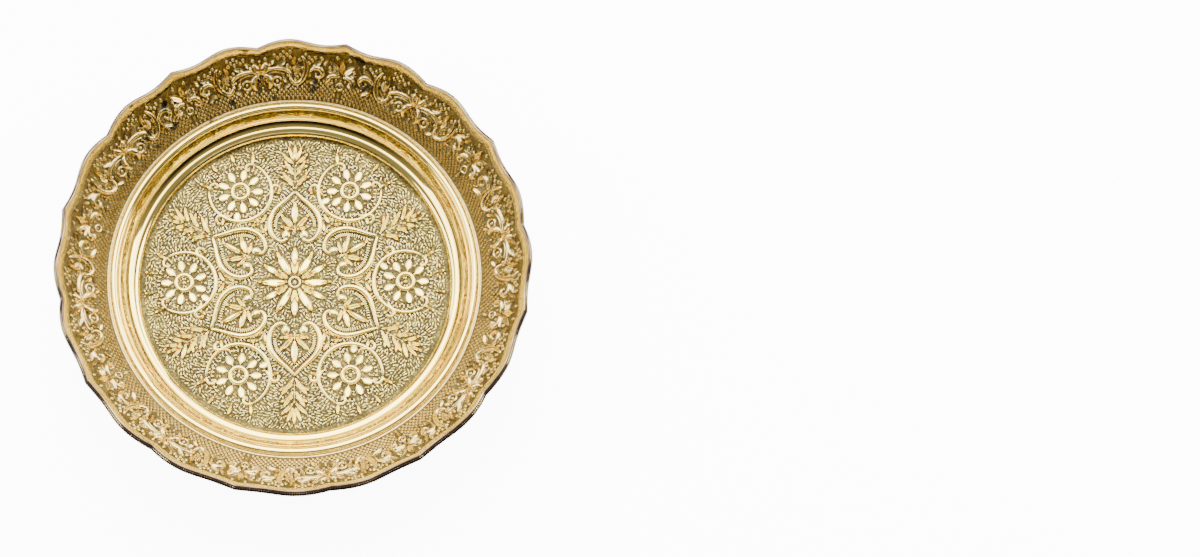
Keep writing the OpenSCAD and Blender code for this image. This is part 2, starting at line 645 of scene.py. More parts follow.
class Chaser:
    """Turns a flat layout into closed raised meshes, one ridge tree and one punch tree."""

    # A ridge's section in breadths, and how the breadth runs out towards its tips.
    PROFILE_STEPS = 6
    RIDGE_HEIGHT = 0.62
    RIDGE_ROOT = 0.14
    RIDGE_SQUARENESS = 0.8
    BREADTH_EASE = 1.6
    TIP_BREADTH = 0.35
    TIP_GROWTH = 0.4

    def __init__(self) -> None:
        """Makes the punches, the ridge's section and the two trees."""
        self.punches = {m: p.solid(f"punch_{m.value}") for m, p in PUNCHES.items()}
        angles = np.linspace(math.pi, 0, self.PROFILE_STEPS + 1)
        dome = [
            (0.5 * math.cos(a), -self.RIDGE_HEIGHT * math.sin(a) ** self.RIDGE_SQUARENESS, 0.0)
            for a in angles
        ]
        section = [(0.5, self.RIDGE_ROOT, 0.0), (-0.5, self.RIDGE_ROOT, 0.0), *dome]
        ring = [(i, (i + 1) % len(section)) for i in range(len(section))]
        self.section = mesh_object("ridge_section", np.array(section), edges=ring)
        self.ridge_tree = self._ridge_tree()
        self.punch_tree = self._punch_tree()

    @staticmethod
    def _ridge_tree() -> GrowTree:
        """Sweeps the section along each line, as broad as the line says.

        Returns:
            The tree, with an input for the section.
        """
        t = GrowTree("Ridges")
        line = t.node("GeometryNodeMeshToCurve", {}, {"Mesh": t.geometry})
        line = t.node("GeometryNodeSetCurveNormal", {"mode": "Z_UP"}, {"Curve": line})
        held = t.node("GeometryNodeObjectInfo", {}, {"Object": t.given("Section", "Object")})
        section = t.node("GeometryNodeMeshToCurve", {}, {"Mesh": held.also("Geometry")})
        swept = t.node(
            "GeometryNodeCurveToMesh", {},
            {"Curve": line, "Profile Curve": section, "Scale": t.attribute("breadth"),
             "Fill Caps": True},
        )
        return t.close(swept)

    @staticmethod
    def _punch_tree() -> GrowTree:
        """Sets one punch on each point, turned and stretched as the point says.

        Returns:
            The tree, with an input for the punch.
        """
        t = GrowTree("Punches")
        held = t.node("GeometryNodeObjectInfo", {}, {"Object": t.given("Punch", "Object")})
        turn = t.node(
            "FunctionNodeEulerToRotation", {}, {"Euler": t.attribute("turn", "FLOAT_VECTOR")}
        )
        struck = t.node(
            "GeometryNodeInstanceOnPoints", {},
            {"Points": t.geometry, "Instance": held.also("Geometry"), "Rotation": turn,
             "Scale": t.attribute("stretch", "FLOAT_VECTOR")},
        )
        return t.close(struck)

    def struck(
        self, motif: Motif, points: np.ndarray, turns: np.ndarray, stretches: np.ndarray
    ) -> bpy.types.Object:
        """Strikes one punch at many places.

        Args:
            motif: the punch.
            points: rows of x, y, z in metres.
            turns: rows of XYZ Euler angles.
            stretches: rows of breadth, length and height in metres.

        Returns:
            One mesh of all the copies.
        """
        base = mesh_object("places", points, turn=turns, stretch=stretches)
        return self.punch_tree.grow(base, f"struck_{motif.value}", Punch=self.punches[motif])

    def raised(self, name: str, pattern: Pattern) -> bpy.types.Object:
        """Makes a whole flat layout, in metres, standing on z = 0.

        Args:
            name: the new object's name.
            pattern: the layout.

        Returns:
            One mesh of all its raised shapes.
        """
        pieces = []
        for motif, rows in pattern.stamps.items():
            if rows:
                r = np.array(rows)
                flat = np.column_stack([r[:, :2] * MM, np.zeros(len(r))])
                turns = np.column_stack([np.zeros((len(r), 2)), -np.radians(r[:, 2])])
                pieces.append(self.struck(motif, flat, turns, r[:, 3:6] * MM))
        if pattern.ridges:
            pieces.append(self._ridges(pattern))
        return joined(name, pieces)

    def _ridges(self, pattern: Pattern) -> bpy.types.Object:
        """Sweeps all of a layout's ridges; one that isn't even in breadth thins to its tips.

        Args:
            pattern: the layout.

        Returns:
            One mesh of all its ridges.
        """
        points, edges, breadths = [], [], []
        for path, (start, middle, end) in pattern.ridges:
            first = len(points)
            t = np.linspace(0, 1, len(path))
            side = np.where(t < 0.5, start, end)
            breadth = middle + (side - middle) * np.abs(2 * t - 1) ** self.BREADTH_EASE
            if start != middle:
                to_end = np.minimum(np.arange(len(path)), np.arange(len(path))[::-1])
                breadth = breadth * np.minimum(1, self.TIP_BREADTH + self.TIP_GROWTH * to_end)
            breadths += list(breadth)
            points += [(x * MM, y * MM, 0.0) for x, y in path]
            edges += [(first + i, first + i + 1) for i in range(len(path) - 1)]
        base = mesh_object(
            "ridge_lines", np.array(points), edges=edges, breadth=np.array(breadths) * MM
        )
        return self.ridge_tree.grow(base, "ridges", Section=self.section)

    def put_away(self) -> None:
        """Removes the punches and the section, which are tools and not pieces."""
        for tool in (*self.punches.values(), self.section):
            bpy.data.objects.remove(tool)


# ---------------------------------------------------------------- the tray's form


@dataclass(frozen=True)
class TrayForm:
    """The sizes that the pieces share, in millimetres: the plate's place is the frame's."""

    floor_r: float
    floor_z: float
    seat_z: float
    tray_r: float = 126.2
    border_h: float = 40.2
    film: float = 0.06
    seat_w: float = 4.0
    foot_h: float = 1.2
    foot_in: float = 1.8
    foot_w: float = 5.0
    foot_slant: float = 0.8
    ledge_w: float = 5.0
    ledge_h: float = 3.9
    ledge_swell: float = 0.9
    lip_h: float = 0.6
    cove_w: float = 6.0
    cove_h: float = 12.4
    cove_sag: float = 1.0
    quirk: float = 0.3
    bead_w: float = 4.6
    bead_out: float = 1.2
    bead_swell: float = 1.8
    wall_t: float = 1.6
    flange_l: float = 4.0
    flange_t: float = 1.0
    border_t: float = 1.2
    border_sag: float = 2.4
    edge_w: float = 2.0
    crest_h: float = 0.5
    edge_drop: float = 2.3
    edge_depth: float = 3.2
    sectors: int = 8
    cusp_in: float = 1.1
    lobe_out: float = 0.9
    dip_in: float = 0.6
    point_out: float = 0.9
    lobe_at: float = 0.356
    dip_at: float = 0.733

    @classmethod
    def from_frame(cls) -> "TrayForm":
        """Reads the embossed floor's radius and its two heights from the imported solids."""
        low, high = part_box("centre_plate")
        return cls(
            floor_r=high.x / MM + cls.film, floor_z=high.z / MM, seat_z=low.z / MM
        )

    @property
    def cove_r(self) -> float:
        """Radius of the cove's outer side."""
        return self.floor_r + self.ledge_w + self.cove_w

    @property
    def bead_r(self) -> float:
        """Radius where the border begins."""
        return self.cove_r + self.bead_w

    @property
    def bead_edge_z(self) -> float:
        """Height where the border begins."""
        return self.floor_z + self.cove_h + self.bead_out

    def arc(self, p: Point, q: Point, swell: float, steps: int = 16) -> Path2:
        """Points of a shallow arc from p to q that swells to the left of its way.

        Args:
            p: the first point.
            q: the last point.
            swell: the arc's height over its chord; below 0 it swells to the right.
            steps: stretches along it.

        Returns:
            The points, both ends included.
        """
        a, b = np.array(p), np.array(q)
        chord = float(np.linalg.norm(b - a))
        radius = (chord**2 / 4 + swell**2) / (2 * abs(swell))
        along = (b - a) / chord
        out = np.array([-along[1], along[0]]) * math.copysign(1.0, swell)
        half = math.asin(chord / 2 / radius)
        turns = np.linspace(-half, half, steps + 1)
        rise = radius * (np.cos(turns) - math.cos(half))
        points = (a + b) / 2 + along * (radius * np.sin(turns))[:, None] + out * rise[:, None]
        return [tuple(p) for p in points]

    def outline(self, turn: np.ndarray) -> np.ndarray:
        """Radius of the scalloped outline at angles in radians from a cusp.

        Args:
            turn: the angles.

        Returns:
            The radius at each, in millimetres.
        """
        half = math.pi / self.sectors
        t = np.abs((turn / half + 1) % 2 - 1)
        up, over, reach = self.cusp_in + self.lobe_out, self.lobe_out, self.point_out
        first = -self.cusp_in + up * np.sin(math.pi / 2 * t / self.lobe_at)
        swing = np.cos(math.pi * (t - self.lobe_at) / (self.dip_at - self.lobe_at))
        second = (over - self.dip_in) / 2 + (over + self.dip_in) / 2 * swing
        third = 1 - np.cos(math.pi / 2 * (t - self.dip_at) / (1 - self.dip_at))
        third = -self.dip_in + (self.dip_in + reach) * third
        return self.tray_r + np.where(t <= self.lobe_at, first, np.where(
            t <= self.dip_at, second, third))


@dataclass(frozen=True)
class Slope:
    """The border's hollow face: an arc turned round the tray's axis, in millimetres."""

    centre: Point
    radius: float
    start: float

    @classmethod
    def of(cls, form: TrayForm) -> "Slope":
        """The arc from the bead to the edge's crest that the solids have.

        Args:
            form: the tray's sizes.

        Returns:
            The slope.
        """
        foot = np.array([form.bead_r, form.bead_edge_z])
        crest = np.array([form.tray_r - form.edge_w, form.floor_z + form.border_h])
        chord = float(np.linalg.norm(crest - foot))
        radius = (chord**2 / 4 + form.border_sag**2) / (2 * form.border_sag)
        along = (crest - foot) / chord
        middle = (foot + crest) / 2
        centre = middle + np.array([-along[1], along[0]]) * (radius - form.border_sag)
        start = math.asin((form.bead_r - centre[0]) / radius)
        return cls(tuple(centre), radius, start)

    def up_to(self, r: np.ndarray) -> np.ndarray:
        """Distance up the slope from the bead to radius r."""
        return self.radius * (np.arcsin((r - self.centre[0]) / self.radius) - self.start)

    def at(self, turn: np.ndarray, up: np.ndarray, off: np.ndarray | float) -> np.ndarray:
        """Places on the slope.

        Args:
            turn: angles round the tray, in radians.
            up: distances up the slope from the bead.
            off: heights above the face.

        Returns:
            Rows of x, y, z in metres.
        """
        a = self.start + up / self.radius
        reach = self.radius - off
        r = self.centre[0] + reach * np.sin(a)
        z = self.centre[1] - reach * np.cos(a)
        return np.stack([r * np.cos(turn), r * np.sin(turn), z], axis=-1) * MM


def grid_faces(rows: int, columns: int) -> list[tuple]:
    """Quads of a grid whose columns run round and close.

    Args:
        rows: how many rows of points.
        columns: points in a row.

    Returns:
        The faces.
    """
    out = []
    for row in range(rows - 1):
        a = row * columns
        for i in range(columns):
            j = (i + 1) % columns
            out.append((a + columns + i, a + columns + j, a + j, a + i))
    return out


@dataclass
class Part:
    """What the sub-assemblies share: the form, the tools and how a piece is handed over."""

    form: TrayForm
    chaser: Chaser
    finishes: dict[str, bpy.types.Material]

    def hand_over(
        self, piece: bpy.types.Object, slot: str, nodes: Iterable[str], crease_deg: float
    ) -> None:
        """Shades a finished piece, dresses it and puts it in the frame.

        Args:
            piece: the finished mesh object.
            slot: its material slot in the record.
            nodes: the solid nodes it stands for.
            crease_deg: edges sharper than this stay crisp.
        """
        shade(piece, crease_deg)
        piece.data.materials.clear()
        piece.data.materials.append(self.finishes[slot])
        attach(piece, "root")
        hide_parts(*nodes)
        triangles = sum(len(p.vertices) - 2 for p in piece.data.polygons)
        LOG.info("%s: %d triangles, finish %s", piece.name, triangles, slot)


# ---------------------------------------------------------------- embossed floor


@dataclass
class CentrePlate(Part):
    """The embossed floor: a thin disc with six hearts, rosettes and palmettes round a flower."""

    sixfold: int = 6
    first_heart_deg: float = 20.8
    rings: int = 150
    ground_sink: float = 0.4
    rim_w: float = 1.2
    rosette_at: float = 60.6
    vine_r: float = 17.4
    stroke_seed: int = 11
    stroke_pitch: float = 1.15
    stroke_lap: float = 0.92
    stroke_sway_deg: float = 12.0
    stroke_breadth: tuple[float, float] = (0.95, 1.2)
    stroke_height: tuple[float, float] = (0.32, 0.48)
    stroke_tries: int = 8000
    bare_middle: float = 0.003
    strokes: tuple[tuple[float, float], ...] = ((3.8, 1.3), (2.6, 0.9), (1.5, 0.55))

    def build(self) -> None:
        """Makes the plate's ground and its raised work."""
        sector = self._sector()
        self._fill_with_strokes(sector)
        flat = self.chaser.raised("floor_sector", sector)
        work = round_tree().grow(
            flat, "floor_ornament", Count=self.sixfold,
            Turn=math.radians(self.first_heart_deg - 90),
            Height=(self.form.floor_z - self.ground_sink) * MM,
        )
        boss = self._boss()
        work = joined("centre_plate_ornament", [work, boss])
        ground = self._ground()
        ground = near_tree().grow(ground, "centre_plate_sheet", Ornament=work)
        self.hand_over(ground, "embossed_plate", ["centre_plate"], 50)
        self.hand_over(work, "embossed_plate", ["centre_plate"], 50)

    def _ground(self) -> bpy.types.Object:
        """The disc itself: on top rings of points, each with six more than the last.

        Returns:
            The closed disc, without raised work.
        """
        rings = self.rings
        step = (self.form.floor_r - self.form.film) / rings
        low, high = self.form.seat_z, self.form.floor_z
        points, first, faces = [(0.0, 0.0, high - self.ground_sink)], [0], []
        for ring in range(1, rings + 1):
            r = ring * step
            first.append(len(points))
            rim = max(0.0, 1 - (rings - ring) * step / self.rim_w)
            z = high - self.ground_sink * (1 - rim)
            angles = np.arange(6 * ring) * FULL_TURN / (6 * ring)
            points += [(r * math.cos(a), r * math.sin(a), z) for a in angles]
        for ring in range(rings):
            faces += self._band(ring, first)
        rim, edge, low_rim = first[rings], 6 * rings, len(points)
        points += [(x, y, low) for x, y, _ in points[rim:low_rim]]
        points.append((0.0, 0.0, low))
        for i in range(edge):
            j = (i + 1) % edge
            faces.append((rim + j, rim + i, low_rim + i, low_rim + j))
            faces.append((low_rim + j, low_rim + i, len(points) - 1))
        # The underside gets a fixed rise that keeps it out of the painted shade.
        rise = np.where(np.arange(len(points)) < low_rim, 0.0, 0.5)
        return mesh_object("floor_ground", np.array(points) * MM, faces, rise=rise)

    @staticmethod
    def _band(ring: int, first: list[int]) -> list[tuple]:
        """Triangles between one ring of points and the next one out.

        Args:
            ring: the inner ring's number.
            first: index of each ring's first point.

        Returns:
            The triangles.
        """
        inner, outer = max(6 * ring, 1), 6 * (ring + 1)
        out = []
        for side in range(6):
            for i in range(ring + 1):
                o = first[ring + 1] + (side * (ring + 1) + i) % outer
                o_next = first[ring + 1] + (side * (ring + 1) + i + 1) % outer
                a = first[ring] + (side * ring + i) % inner
                out.append((a, o, o_next))
                if i < ring:
                    a_next = first[ring] + (side * ring + i + 1) % inner
                    out.append((a, o_next, a_next))
        return out

    def _boss(self) -> bpy.types.Object:
        """The ring and dot at the very middle.

        Returns:
            The raised mesh, in its place.
        """
        middle = Pattern()
        middle.ring((0, 0), 2.9, 1.3)
        middle.knob((0, 0), 2.5, 1.2)
        flat = self.chaser.raised("boss_flat", middle)
        return round_tree().grow(
            flat, "floor_boss", Count=1, Turn=0.0,
            Height=(self.form.floor_z - self.ground_sink) * MM,
        )

    def _sector(self) -> Pattern:
        """One sixth of the floor, its heart pointing along +Y.

        Returns:
            The layout.
        """
        out = Pattern()
        out.add(self._heart().doubled())
        out.add(self._palmette().doubled())
        out.add(self._petals())
        between = 180.0 / self.sixfold
        out.add(self._rosette().placed(polar(self.rosette_at, between), between))
        out.add(self._fleuron().doubled().placed((0, 0), between))
        return out

    def _heart(self) -> Pattern:
        """Right half of a heart with its sprig; the leaf on its middle line is drawn whole.

        Returns:
            The layout.
        """
        half = Pattern()
        outline = smooth_path(
            [(0, 52.6), (3.6, 48.8), (8.4, 44.4), (12.2, 39.8), (13.9, 34.8), (13.7, 30.4),
             (12.2, 26.8), (9.9, 24.3), (7.4, 23.4), (5.2, 24.2), (4.4, 26.0)], 0.7)
        half.ridge(outline, 1.6, 3.3, 1.7)
        half.knob((4.9, 27.2), 5.8, 1.35)
        half.ridge([(0, 26.5), (0, 31.0), (0, 35.0)], 0.7, 1.0, 0.9)
        half.leaves(
            (0, 33.0, 0, 5.0, 14.0, 1.2), (0.5, 31.0, 43, 4.4, 11.4, 1.2),
            (0.9, 30.2, 76, 3.0, 7.6, 1.0),
        )
        bare_tip, bare_curl, inset = 7, 22, 1.8
        for i in range(bare_tip, len(outline) - bare_curl, 2):
            x, y = outline[i]
            dx, dy = outline[i + 1][0] - x, outline[i + 1][1] - y
            turn = math.degrees(math.atan2(dy, -dx))
            inward = polar(inset, turn)
            half.stamp(Motif.DASH, (x + inward[0], y + inward[1]), turn, 0.9, 2.9, 0.75)
        return half

    def _palmette(self) -> Pattern:
        """Right half of the leafy spray that grows from a heart's tip.

        Returns:
            The layout.
        """
        half = Pattern()
        half.ridge([(0, 53.6), (0, 62.0), (0, 71.0)], 0.6, 0.9, 0.7)
        for y, turn, breadth, length in (
            (54.8, 36, 3.6, 11.6), (61.4, 30, 3.4, 11.0), (68.2, 46, 3.2, 9.6),
            (58.0, 68, 3.0, 8.6), (65.0, 70, 2.6, 7.6), (70.4, 22, 3.0, 9.4),
        ):
            half.stamp(Motif.LEAF, (0.5, y), turn, breadth, length, 1.0)
        half.stamp(Motif.LEAF, (0, 71.0), 0, 2.8, 9.4, 1.0)
        hook = smooth_path(
            [(8.4, 53.6), (9.3, 55.5), (11.3, 56.0), (12.9, 54.4), (13.9, 51.8), (15.8, 49.6)], 0.6)
        half.ridge(hook, 1.3, 2.3, 1.0)
        half.knob((8.5, 53.4), 2.6, 1.2)
        return half

    def _petals(self) -> Pattern:
        """The two petals of the middle flower that belong to one sector.

        Returns:
            The layout.
        """
        out = Pattern()
        out.stamp(Motif.LEAF, (1.8, 3.1), 30, 6.2, 16.8, 1.3)
        out.ridge([(0, 3.8), (0, 8.0), (0, 12.0)], 0.8, 0.9, 0.8)
        out.stamp(Motif.LEAF, (0, 9.6), 0, 5.0, 10.4, 1.1)
        for side in (-1, 1):
            out.stamp(Motif.LEAF, (0.2 * side, 4.4), 12 * side, 2.2, 7.6, 0.8)
            for k in range(3):
                turn = (11 + 5 * k) * side
                out.stamp(Motif.DASH, polar(18.2 - k, turn), turn, 0.8, 3.6, 0.6)
        return out

    def _fleuron(self) -> Pattern:
        """Right half of the small three-lobed sprig between two hearts.

        Returns:
            The layout.
        """
        half = Pattern()
        half.ridge([(0, 30.5), (0, 35.0), (0, 39.5)], 0.6, 0.9, 1.0)
        half.knob((0, 41.0), 2.6, 1.2)
        half.leaves(
            (0.4, 38.6, 60, 2.8, 6.4, 1.0), (0.3, 33.0, 36, 2.2, 5.6, 0.9),
        )
        return half

    def _rosette(self) -> Pattern:
        """A rosette about its own middle, outwards along +Y, inside its open vine ring.

        Returns:
            The layout.
        """
        out = Pattern()
        out.ring((0, 0), 4.4, 2.6)
        out.knob((0, 0), 2.4, 0.9)
        petals = 9
        for k in range(petals):
            turn = k * 360 / petals
            out.stamp(Motif.PETAL, polar(6.9, turn), turn, 5.7, 5.8, 1.2)
            out.stamp(Motif.DASH, polar(5.6, turn), turn, 1.1, 2.4, 0.8)
        out.stamp(Motif.PETAL, (-7.4, -9.8), 215, 5.4, 5.0, 1.2)
        strokes = 40
        for k in range(strokes):
            turn = (k + 0.5) * 360 / strokes
            out.stamp(Motif.DASH, polar(12.6, turn), turn, 0.9, 2.9, 0.7)
        opening = 58
        ring = arc_path((0, 0), self.vine_r, 90 + opening, 450 - opening, 0.8)
        out.ridge(ring, 1.5, 2.6, 1.5)
        half = Pattern()
        tip = ring[-1]
        curl = smooth_path(
            [tip, (tip[0] - 2.4, tip[1] + 2.2), (tip[0] - 5.0, tip[1] + 1.9),
             (tip[0] - 5.6, tip[1] - 0.3), (tip[0] - 4.0, tip[1] - 1.0)], 0.5)
        half.ridge(curl, 1.3, 1.8, 1.2)
        half.knob((tip[0] - 4.3, tip[1] - 0.1), 1.9, 1.1)
        half.leaves(
            (tip[0] - 1.2, tip[1] + 1.0, 34, 2.4, 7.0, 1.0), (15.4, -8.4, 142, 2.1, 5.0, 0.9),
            (5.4, 16.4, 8, 2.2, 5.6, 0.9),
        )
        out.add(half.doubled())
        return out

    def _fill_with_strokes(self, sector: Pattern) -> None:
        """Hatches the free ground with strokes that point away from the nearest shape.

        Args:
            sector: the layout that takes the strokes.
        """
        spots = sector.spots()
        around = [spots]
        sector_turn = FULL_TURN / self.sixfold
        for turn in (-sector_turn, sector_turn):
            x = spots[:, 0] * math.cos(turn) + spots[:, 1] * math.sin(turn)
            y = -spots[:, 0] * math.sin(turn) + spots[:, 1] * math.cos(turn)
            around.append(np.column_stack([x, y, spots[:, 2]]))
        luck = np.random.default_rng(self.stroke_seed)
        kept = np.empty((0, 2))
        for length, clearance in self.strokes:
            radius = (self.form.floor_r - self.rim_w - length / 2) * np.sqrt(
                luck.uniform(self.bare_middle, 1, self.stroke_tries))
            turn = luck.uniform(-sector_turn / 2, sector_turn / 2, self.stroke_tries)
            wanted = np.column_stack([radius * np.sin(turn), radius * np.cos(turn)])
            for x, y, away in sector.free(wanted, clearance, np.vstack(around)):
                a = math.radians(away + luck.uniform(-self.stroke_sway_deg, self.stroke_sway_deg))
                way = np.array([math.sin(a), math.cos(a)])
                gap = np.abs((kept - (x, y)) @ np.column_stack([way, (way[1], -way[0])]))
                close = (gap[:, 0] < length * self.stroke_lap) & (gap[:, 1] < self.stroke_pitch)
                if np.any(close):
                    continue
                kept = np.vstack([kept, (x, y)])
                foot = (x - length / 2 * way[0], y - length / 2 * way[1])
                sector.stamp(
                    Motif.DASH, foot, math.degrees(a), luck.uniform(*self.stroke_breadth), length,
                    luck.uniform(*self.stroke_height))


def round_tree() -> GrowTree:
    """Repeats a flat sector round the tray's axis and keeps how high each point stands.

    Returns:
        The tree, with inputs for the count, the turn and the height.
    """
    t = GrowTree("Round the axis")
    count = t.given("Count", "Int")
    _, _, z = t.split(t.node("GeometryNodeInputPosition"))
    # rise: height above the ground in millimetres, by which the finish paints shade at the foot of
    # the raised work.
    kept = t.store(t.geometry, "rise", z / MM)
    axis = t.node("GeometryNodePoints", {}, {"Count": count})
    turn = t.given("Turn") + t.node("GeometryNodeInputIndex") * FULL_TURN / count
    euler = t.node("FunctionNodeEulerToRotation", {}, {"Euler": t.xyz(0.0, 0.0, turn)})
    copies = t.node(
        "GeometryNodeInstanceOnPoints", {},
        {"Points": axis, "Instance": kept, "Rotation": euler},
    )
    lifted = t.node(
        "GeometryNodeTranslateInstances", {},
        {"Instances": copies, "Translation": t.xyz(0.0, 0.0, t.given("Height"))},
    )
    return t.close(lifted)


def near_tree() -> GrowTree:
    """Writes how far each point of a sheet is from the raised work, in millimetres; the finish
    paints shade on the ground by it.

    Returns:
        The tree, with an input for the raised work.
    """
    t = GrowTree("Near raised work")
    work = t.node("GeometryNodeObjectInfo", {}, {"Object": t.given("Ornament", "Object")})
    gap = t.node(
        "GeometryNodeProximity", {"target_element": "FACES"}, {"Geometry": work.also("Geometry")}
    )
    return t.close(t.store(t.geometry, "near", gap.also("Distance") / MM))


# ---------------------------------------------------------------- turned and spun rings


def turning_tree() -> GrowTree:
    """Turns a closed section round the tray's axis; the section is drawn at the start radius.

    Returns:
        The tree, with inputs for the steps and the start radius.
    """
    t = GrowTree("Turned ring")
    section = t.node("GeometryNodeMeshToCurve", {}, {"Mesh": t.geometry})
    way = t.node(
        "GeometryNodeCurvePrimitiveCircle", {"mode": "RADIUS"},
        {"Resolution": t.given("Steps", "Int"), "Radius": t.given("Radius")},
    )
    ring = t.node("GeometryNodeCurveToMesh", {}, {"Curve": way, "Profile Curve": section})
    return t.close(ring)


def turned(name: str, section: Path2, steps: int) -> bpy.types.Object:
    """Turns a ring from its section.

    Args:
        name: the ring's name.
        section: closed outline, counter-clockwise seen with +r right and +z down.
        steps: stations round the ring.

    Returns:
        The closed ring.
    """
    start = section[0][0]
    points = np.array([((r - start) * MM, -z * MM, 0.0) for r, z in section])
    loop = [(i, (i + 1) % len(section)) for i in range(len(section))]
    base = mesh_object("section", points, edges=loop)
    return turning_tree().grow(base, name, Steps=steps, Radius=start * MM)


@dataclass
class FootRing(Part):
    """The turned ring that the tray stands on."""

    soft: float = 0.35
    steps: int = 256

    def build(self) -> None:
        """Turns the ring with its corners eased."""
        f = self.form
        inner = f.floor_r - f.foot_in
        outer = inner + f.foot_w
        corners = [
            (f.floor_r - f.seat_w, f.foot_h), (inner, f.foot_h), (inner, 0.0), (outer, 0.0),
            (outer + f.foot_slant, f.seat_z), (f.floor_r - f.seat_w, f.seat_z),
        ]
        ring = turned("foot_ring_turned", eased(corners, self.soft), self.steps)
        self.hand_over(ring, "foot", ["foot_ring"], 45)


def eased(corners: Path2, soft: float, steps: int = 3) -> Path2:
    """Rounds every corner of a closed outline.

    Args:
        corners: the sharp outline.
        soft: how far from each corner its round begins.
        steps: stretches in each round.

    Returns:
        The outline with rounds.
    """
    out: Path2 = []
    c = np.array(corners, float)
    for before, at, after in zip(np.roll(c, 1, 0), c, np.roll(c, -1, 0)):
        a = at + (before - at) * min(0.4, soft / np.linalg.norm(before - at))
        b = at + (after - at) * min(0.4, soft / np.linalg.norm(after - at))
        for t in np.linspace(0, 1, steps + 1):
            out.append(tuple((1 - t) ** 2 * a + 2 * t * (1 - t) * at + t * t * b))
    return out


@dataclass
class WellRing(Part):
    """The spun, polished shell: ledge round the plate, cove, bead and hidden flange."""

    steps: int = 360

    def build(self) -> None:
        """Spins the shell."""
        ring = turned("well_ring_spun", self._section(), self.steps)
        self.hand_over(ring, "polished_ring", ["well_ring"], 30)

    def _section(self) -> Path2:
        """The shell's closed section: foot, undersides, flange, bead, cove and ledge.

        Returns:
            The section's points, each a radius and a height.
        """
        f = self.form
        slope = Slope.of(f)
        ledge_r = f.floor_r + f.ledge_w
        cove_top = f.floor_z + f.cove_h
        ledge_top = f.floor_z + f.ledge_h
        under = f.border_t + f.film
        flange = [
            self._below(slope, f.bead_r + reach, depth)
            for depth, reaches in (
                (under + f.flange_t, (0.0, 1.3, 2.7, f.flange_l)),
                (under, (f.flange_l, 2.7, 1.3, 0.0)),
            )
            for reach in reaches
        ]
        bead = f.arc((f.bead_r, f.bead_edge_z), (f.cove_r, cove_top + f.quirk), -f.bead_swell)
        cove = f.arc((f.cove_r - f.quirk, cove_top), (ledge_r, ledge_top - f.quirk), f.cove_sag)
        ledge = f.arc(
            (ledge_r - f.quirk, ledge_top), (f.floor_r, f.floor_z + f.lip_h), -f.ledge_swell)
        ledge_under = f.arc(
            (f.floor_r + f.wall_t, f.floor_z + f.lip_h - f.wall_t / 2),
            (ledge_r - f.quirk, ledge_top - f.wall_t), f.ledge_swell / 2, 6)
        cove_under = f.arc(
            (ledge_r + f.wall_t, ledge_top - f.wall_t / 2),
            (f.cove_r + f.wall_t, cove_top - f.wall_t), -f.cove_sag, 6)
        foot = [(f.floor_r, f.seat_z), (f.floor_r + f.wall_t, f.seat_z)]
        return (foot + ledge_under + cove_under + flange + bead + cove + ledge)[::-1]

    @staticmethod
    def _below(slope: Slope, r: float, depth: float) -> Point:
        """The place at radius r on the face that lies this deep below the border's."""
        a = math.asin((r - slope.centre[0]) / (slope.radius + depth))
        return (r, slope.centre[1] - (slope.radius + depth) * math.cos(a))


# ---------------------------------------------------------------- embossed border


def slope_tree() -> GrowTree:
    """Repeats a flat sector along a line, then wraps the line round the hollow slope.

    Returns:
        The tree, with inputs for the count, the pitch and the slope's arc.
    """
    t = GrowTree("Round the slope")
    middle, height = t.given("Centre Radius"), t.given("Centre Height")
    arc, start, turn = t.given("Arc Radius"), t.given("Start Angle"), t.given("Turn")
    wrap_r, pitch = t.given("Wrap Radius"), t.given("Pitch")
    _, _, z = t.split(t.node("GeometryNodeInputPosition"))
    # rise: height above the panel in millimetres, by which the finish paints shade at the foot of
    # the raised work.
    kept = t.store(t.geometry, "rise", (z + t.given("Sink")) / MM)
    line = t.node(
        "GeometryNodeMeshLine", {"mode": "OFFSET"},
        {"Count": t.given("Count", "Int"), "Offset": t.xyz(pitch, 0.0, 0.0)},
    )
    row = t.node("GeometryNodeInstanceOnPoints", {}, {"Points": line, "Instance": kept})
    row = t.node("GeometryNodeRealizeInstances", {}, {"Geometry": row})
    x, y, z = t.split(t.node("GeometryNodeInputPosition"))
    a = start + y / arc
    reach = arc - z
    r = middle + reach * a.math("SINE")
    round_by = turn - x / wrap_r
    place = t.xyz(
        r * round_by.math("COSINE"), r * round_by.math("SINE"), height - reach * a.math("COSINE")
    )
    return t.close(t.node("GeometryNodeSetPosition", {}, {"Geometry": row, "Position": place}))


@dataclass(frozen=True)
class Lattice:
    """Staggered struck diamonds: their spacing, the rows from low to high, and one's size."""

    across: float
    up: float
    low: float
    high: float
    clearance: float
    breadth: float
    length: float
    height: float

    def places(self, half: float) -> np.ndarray:
        """Places over a sector's full breadth, two rows to each step up.

        Args:
            half: half the sector's breadth.

        Returns:
            Rows of x and y.
        """
        count = round(2 * half / self.across)
        out = []
        for row, y in enumerate(np.arange(self.low, self.high, self.up / 2)):
            x = (np.arange(count) + 0.5 * (row % 2)) * 2 * half / count - half
            out.append(np.column_stack([x, np.full(count, y)]))
        return np.vstack(out)


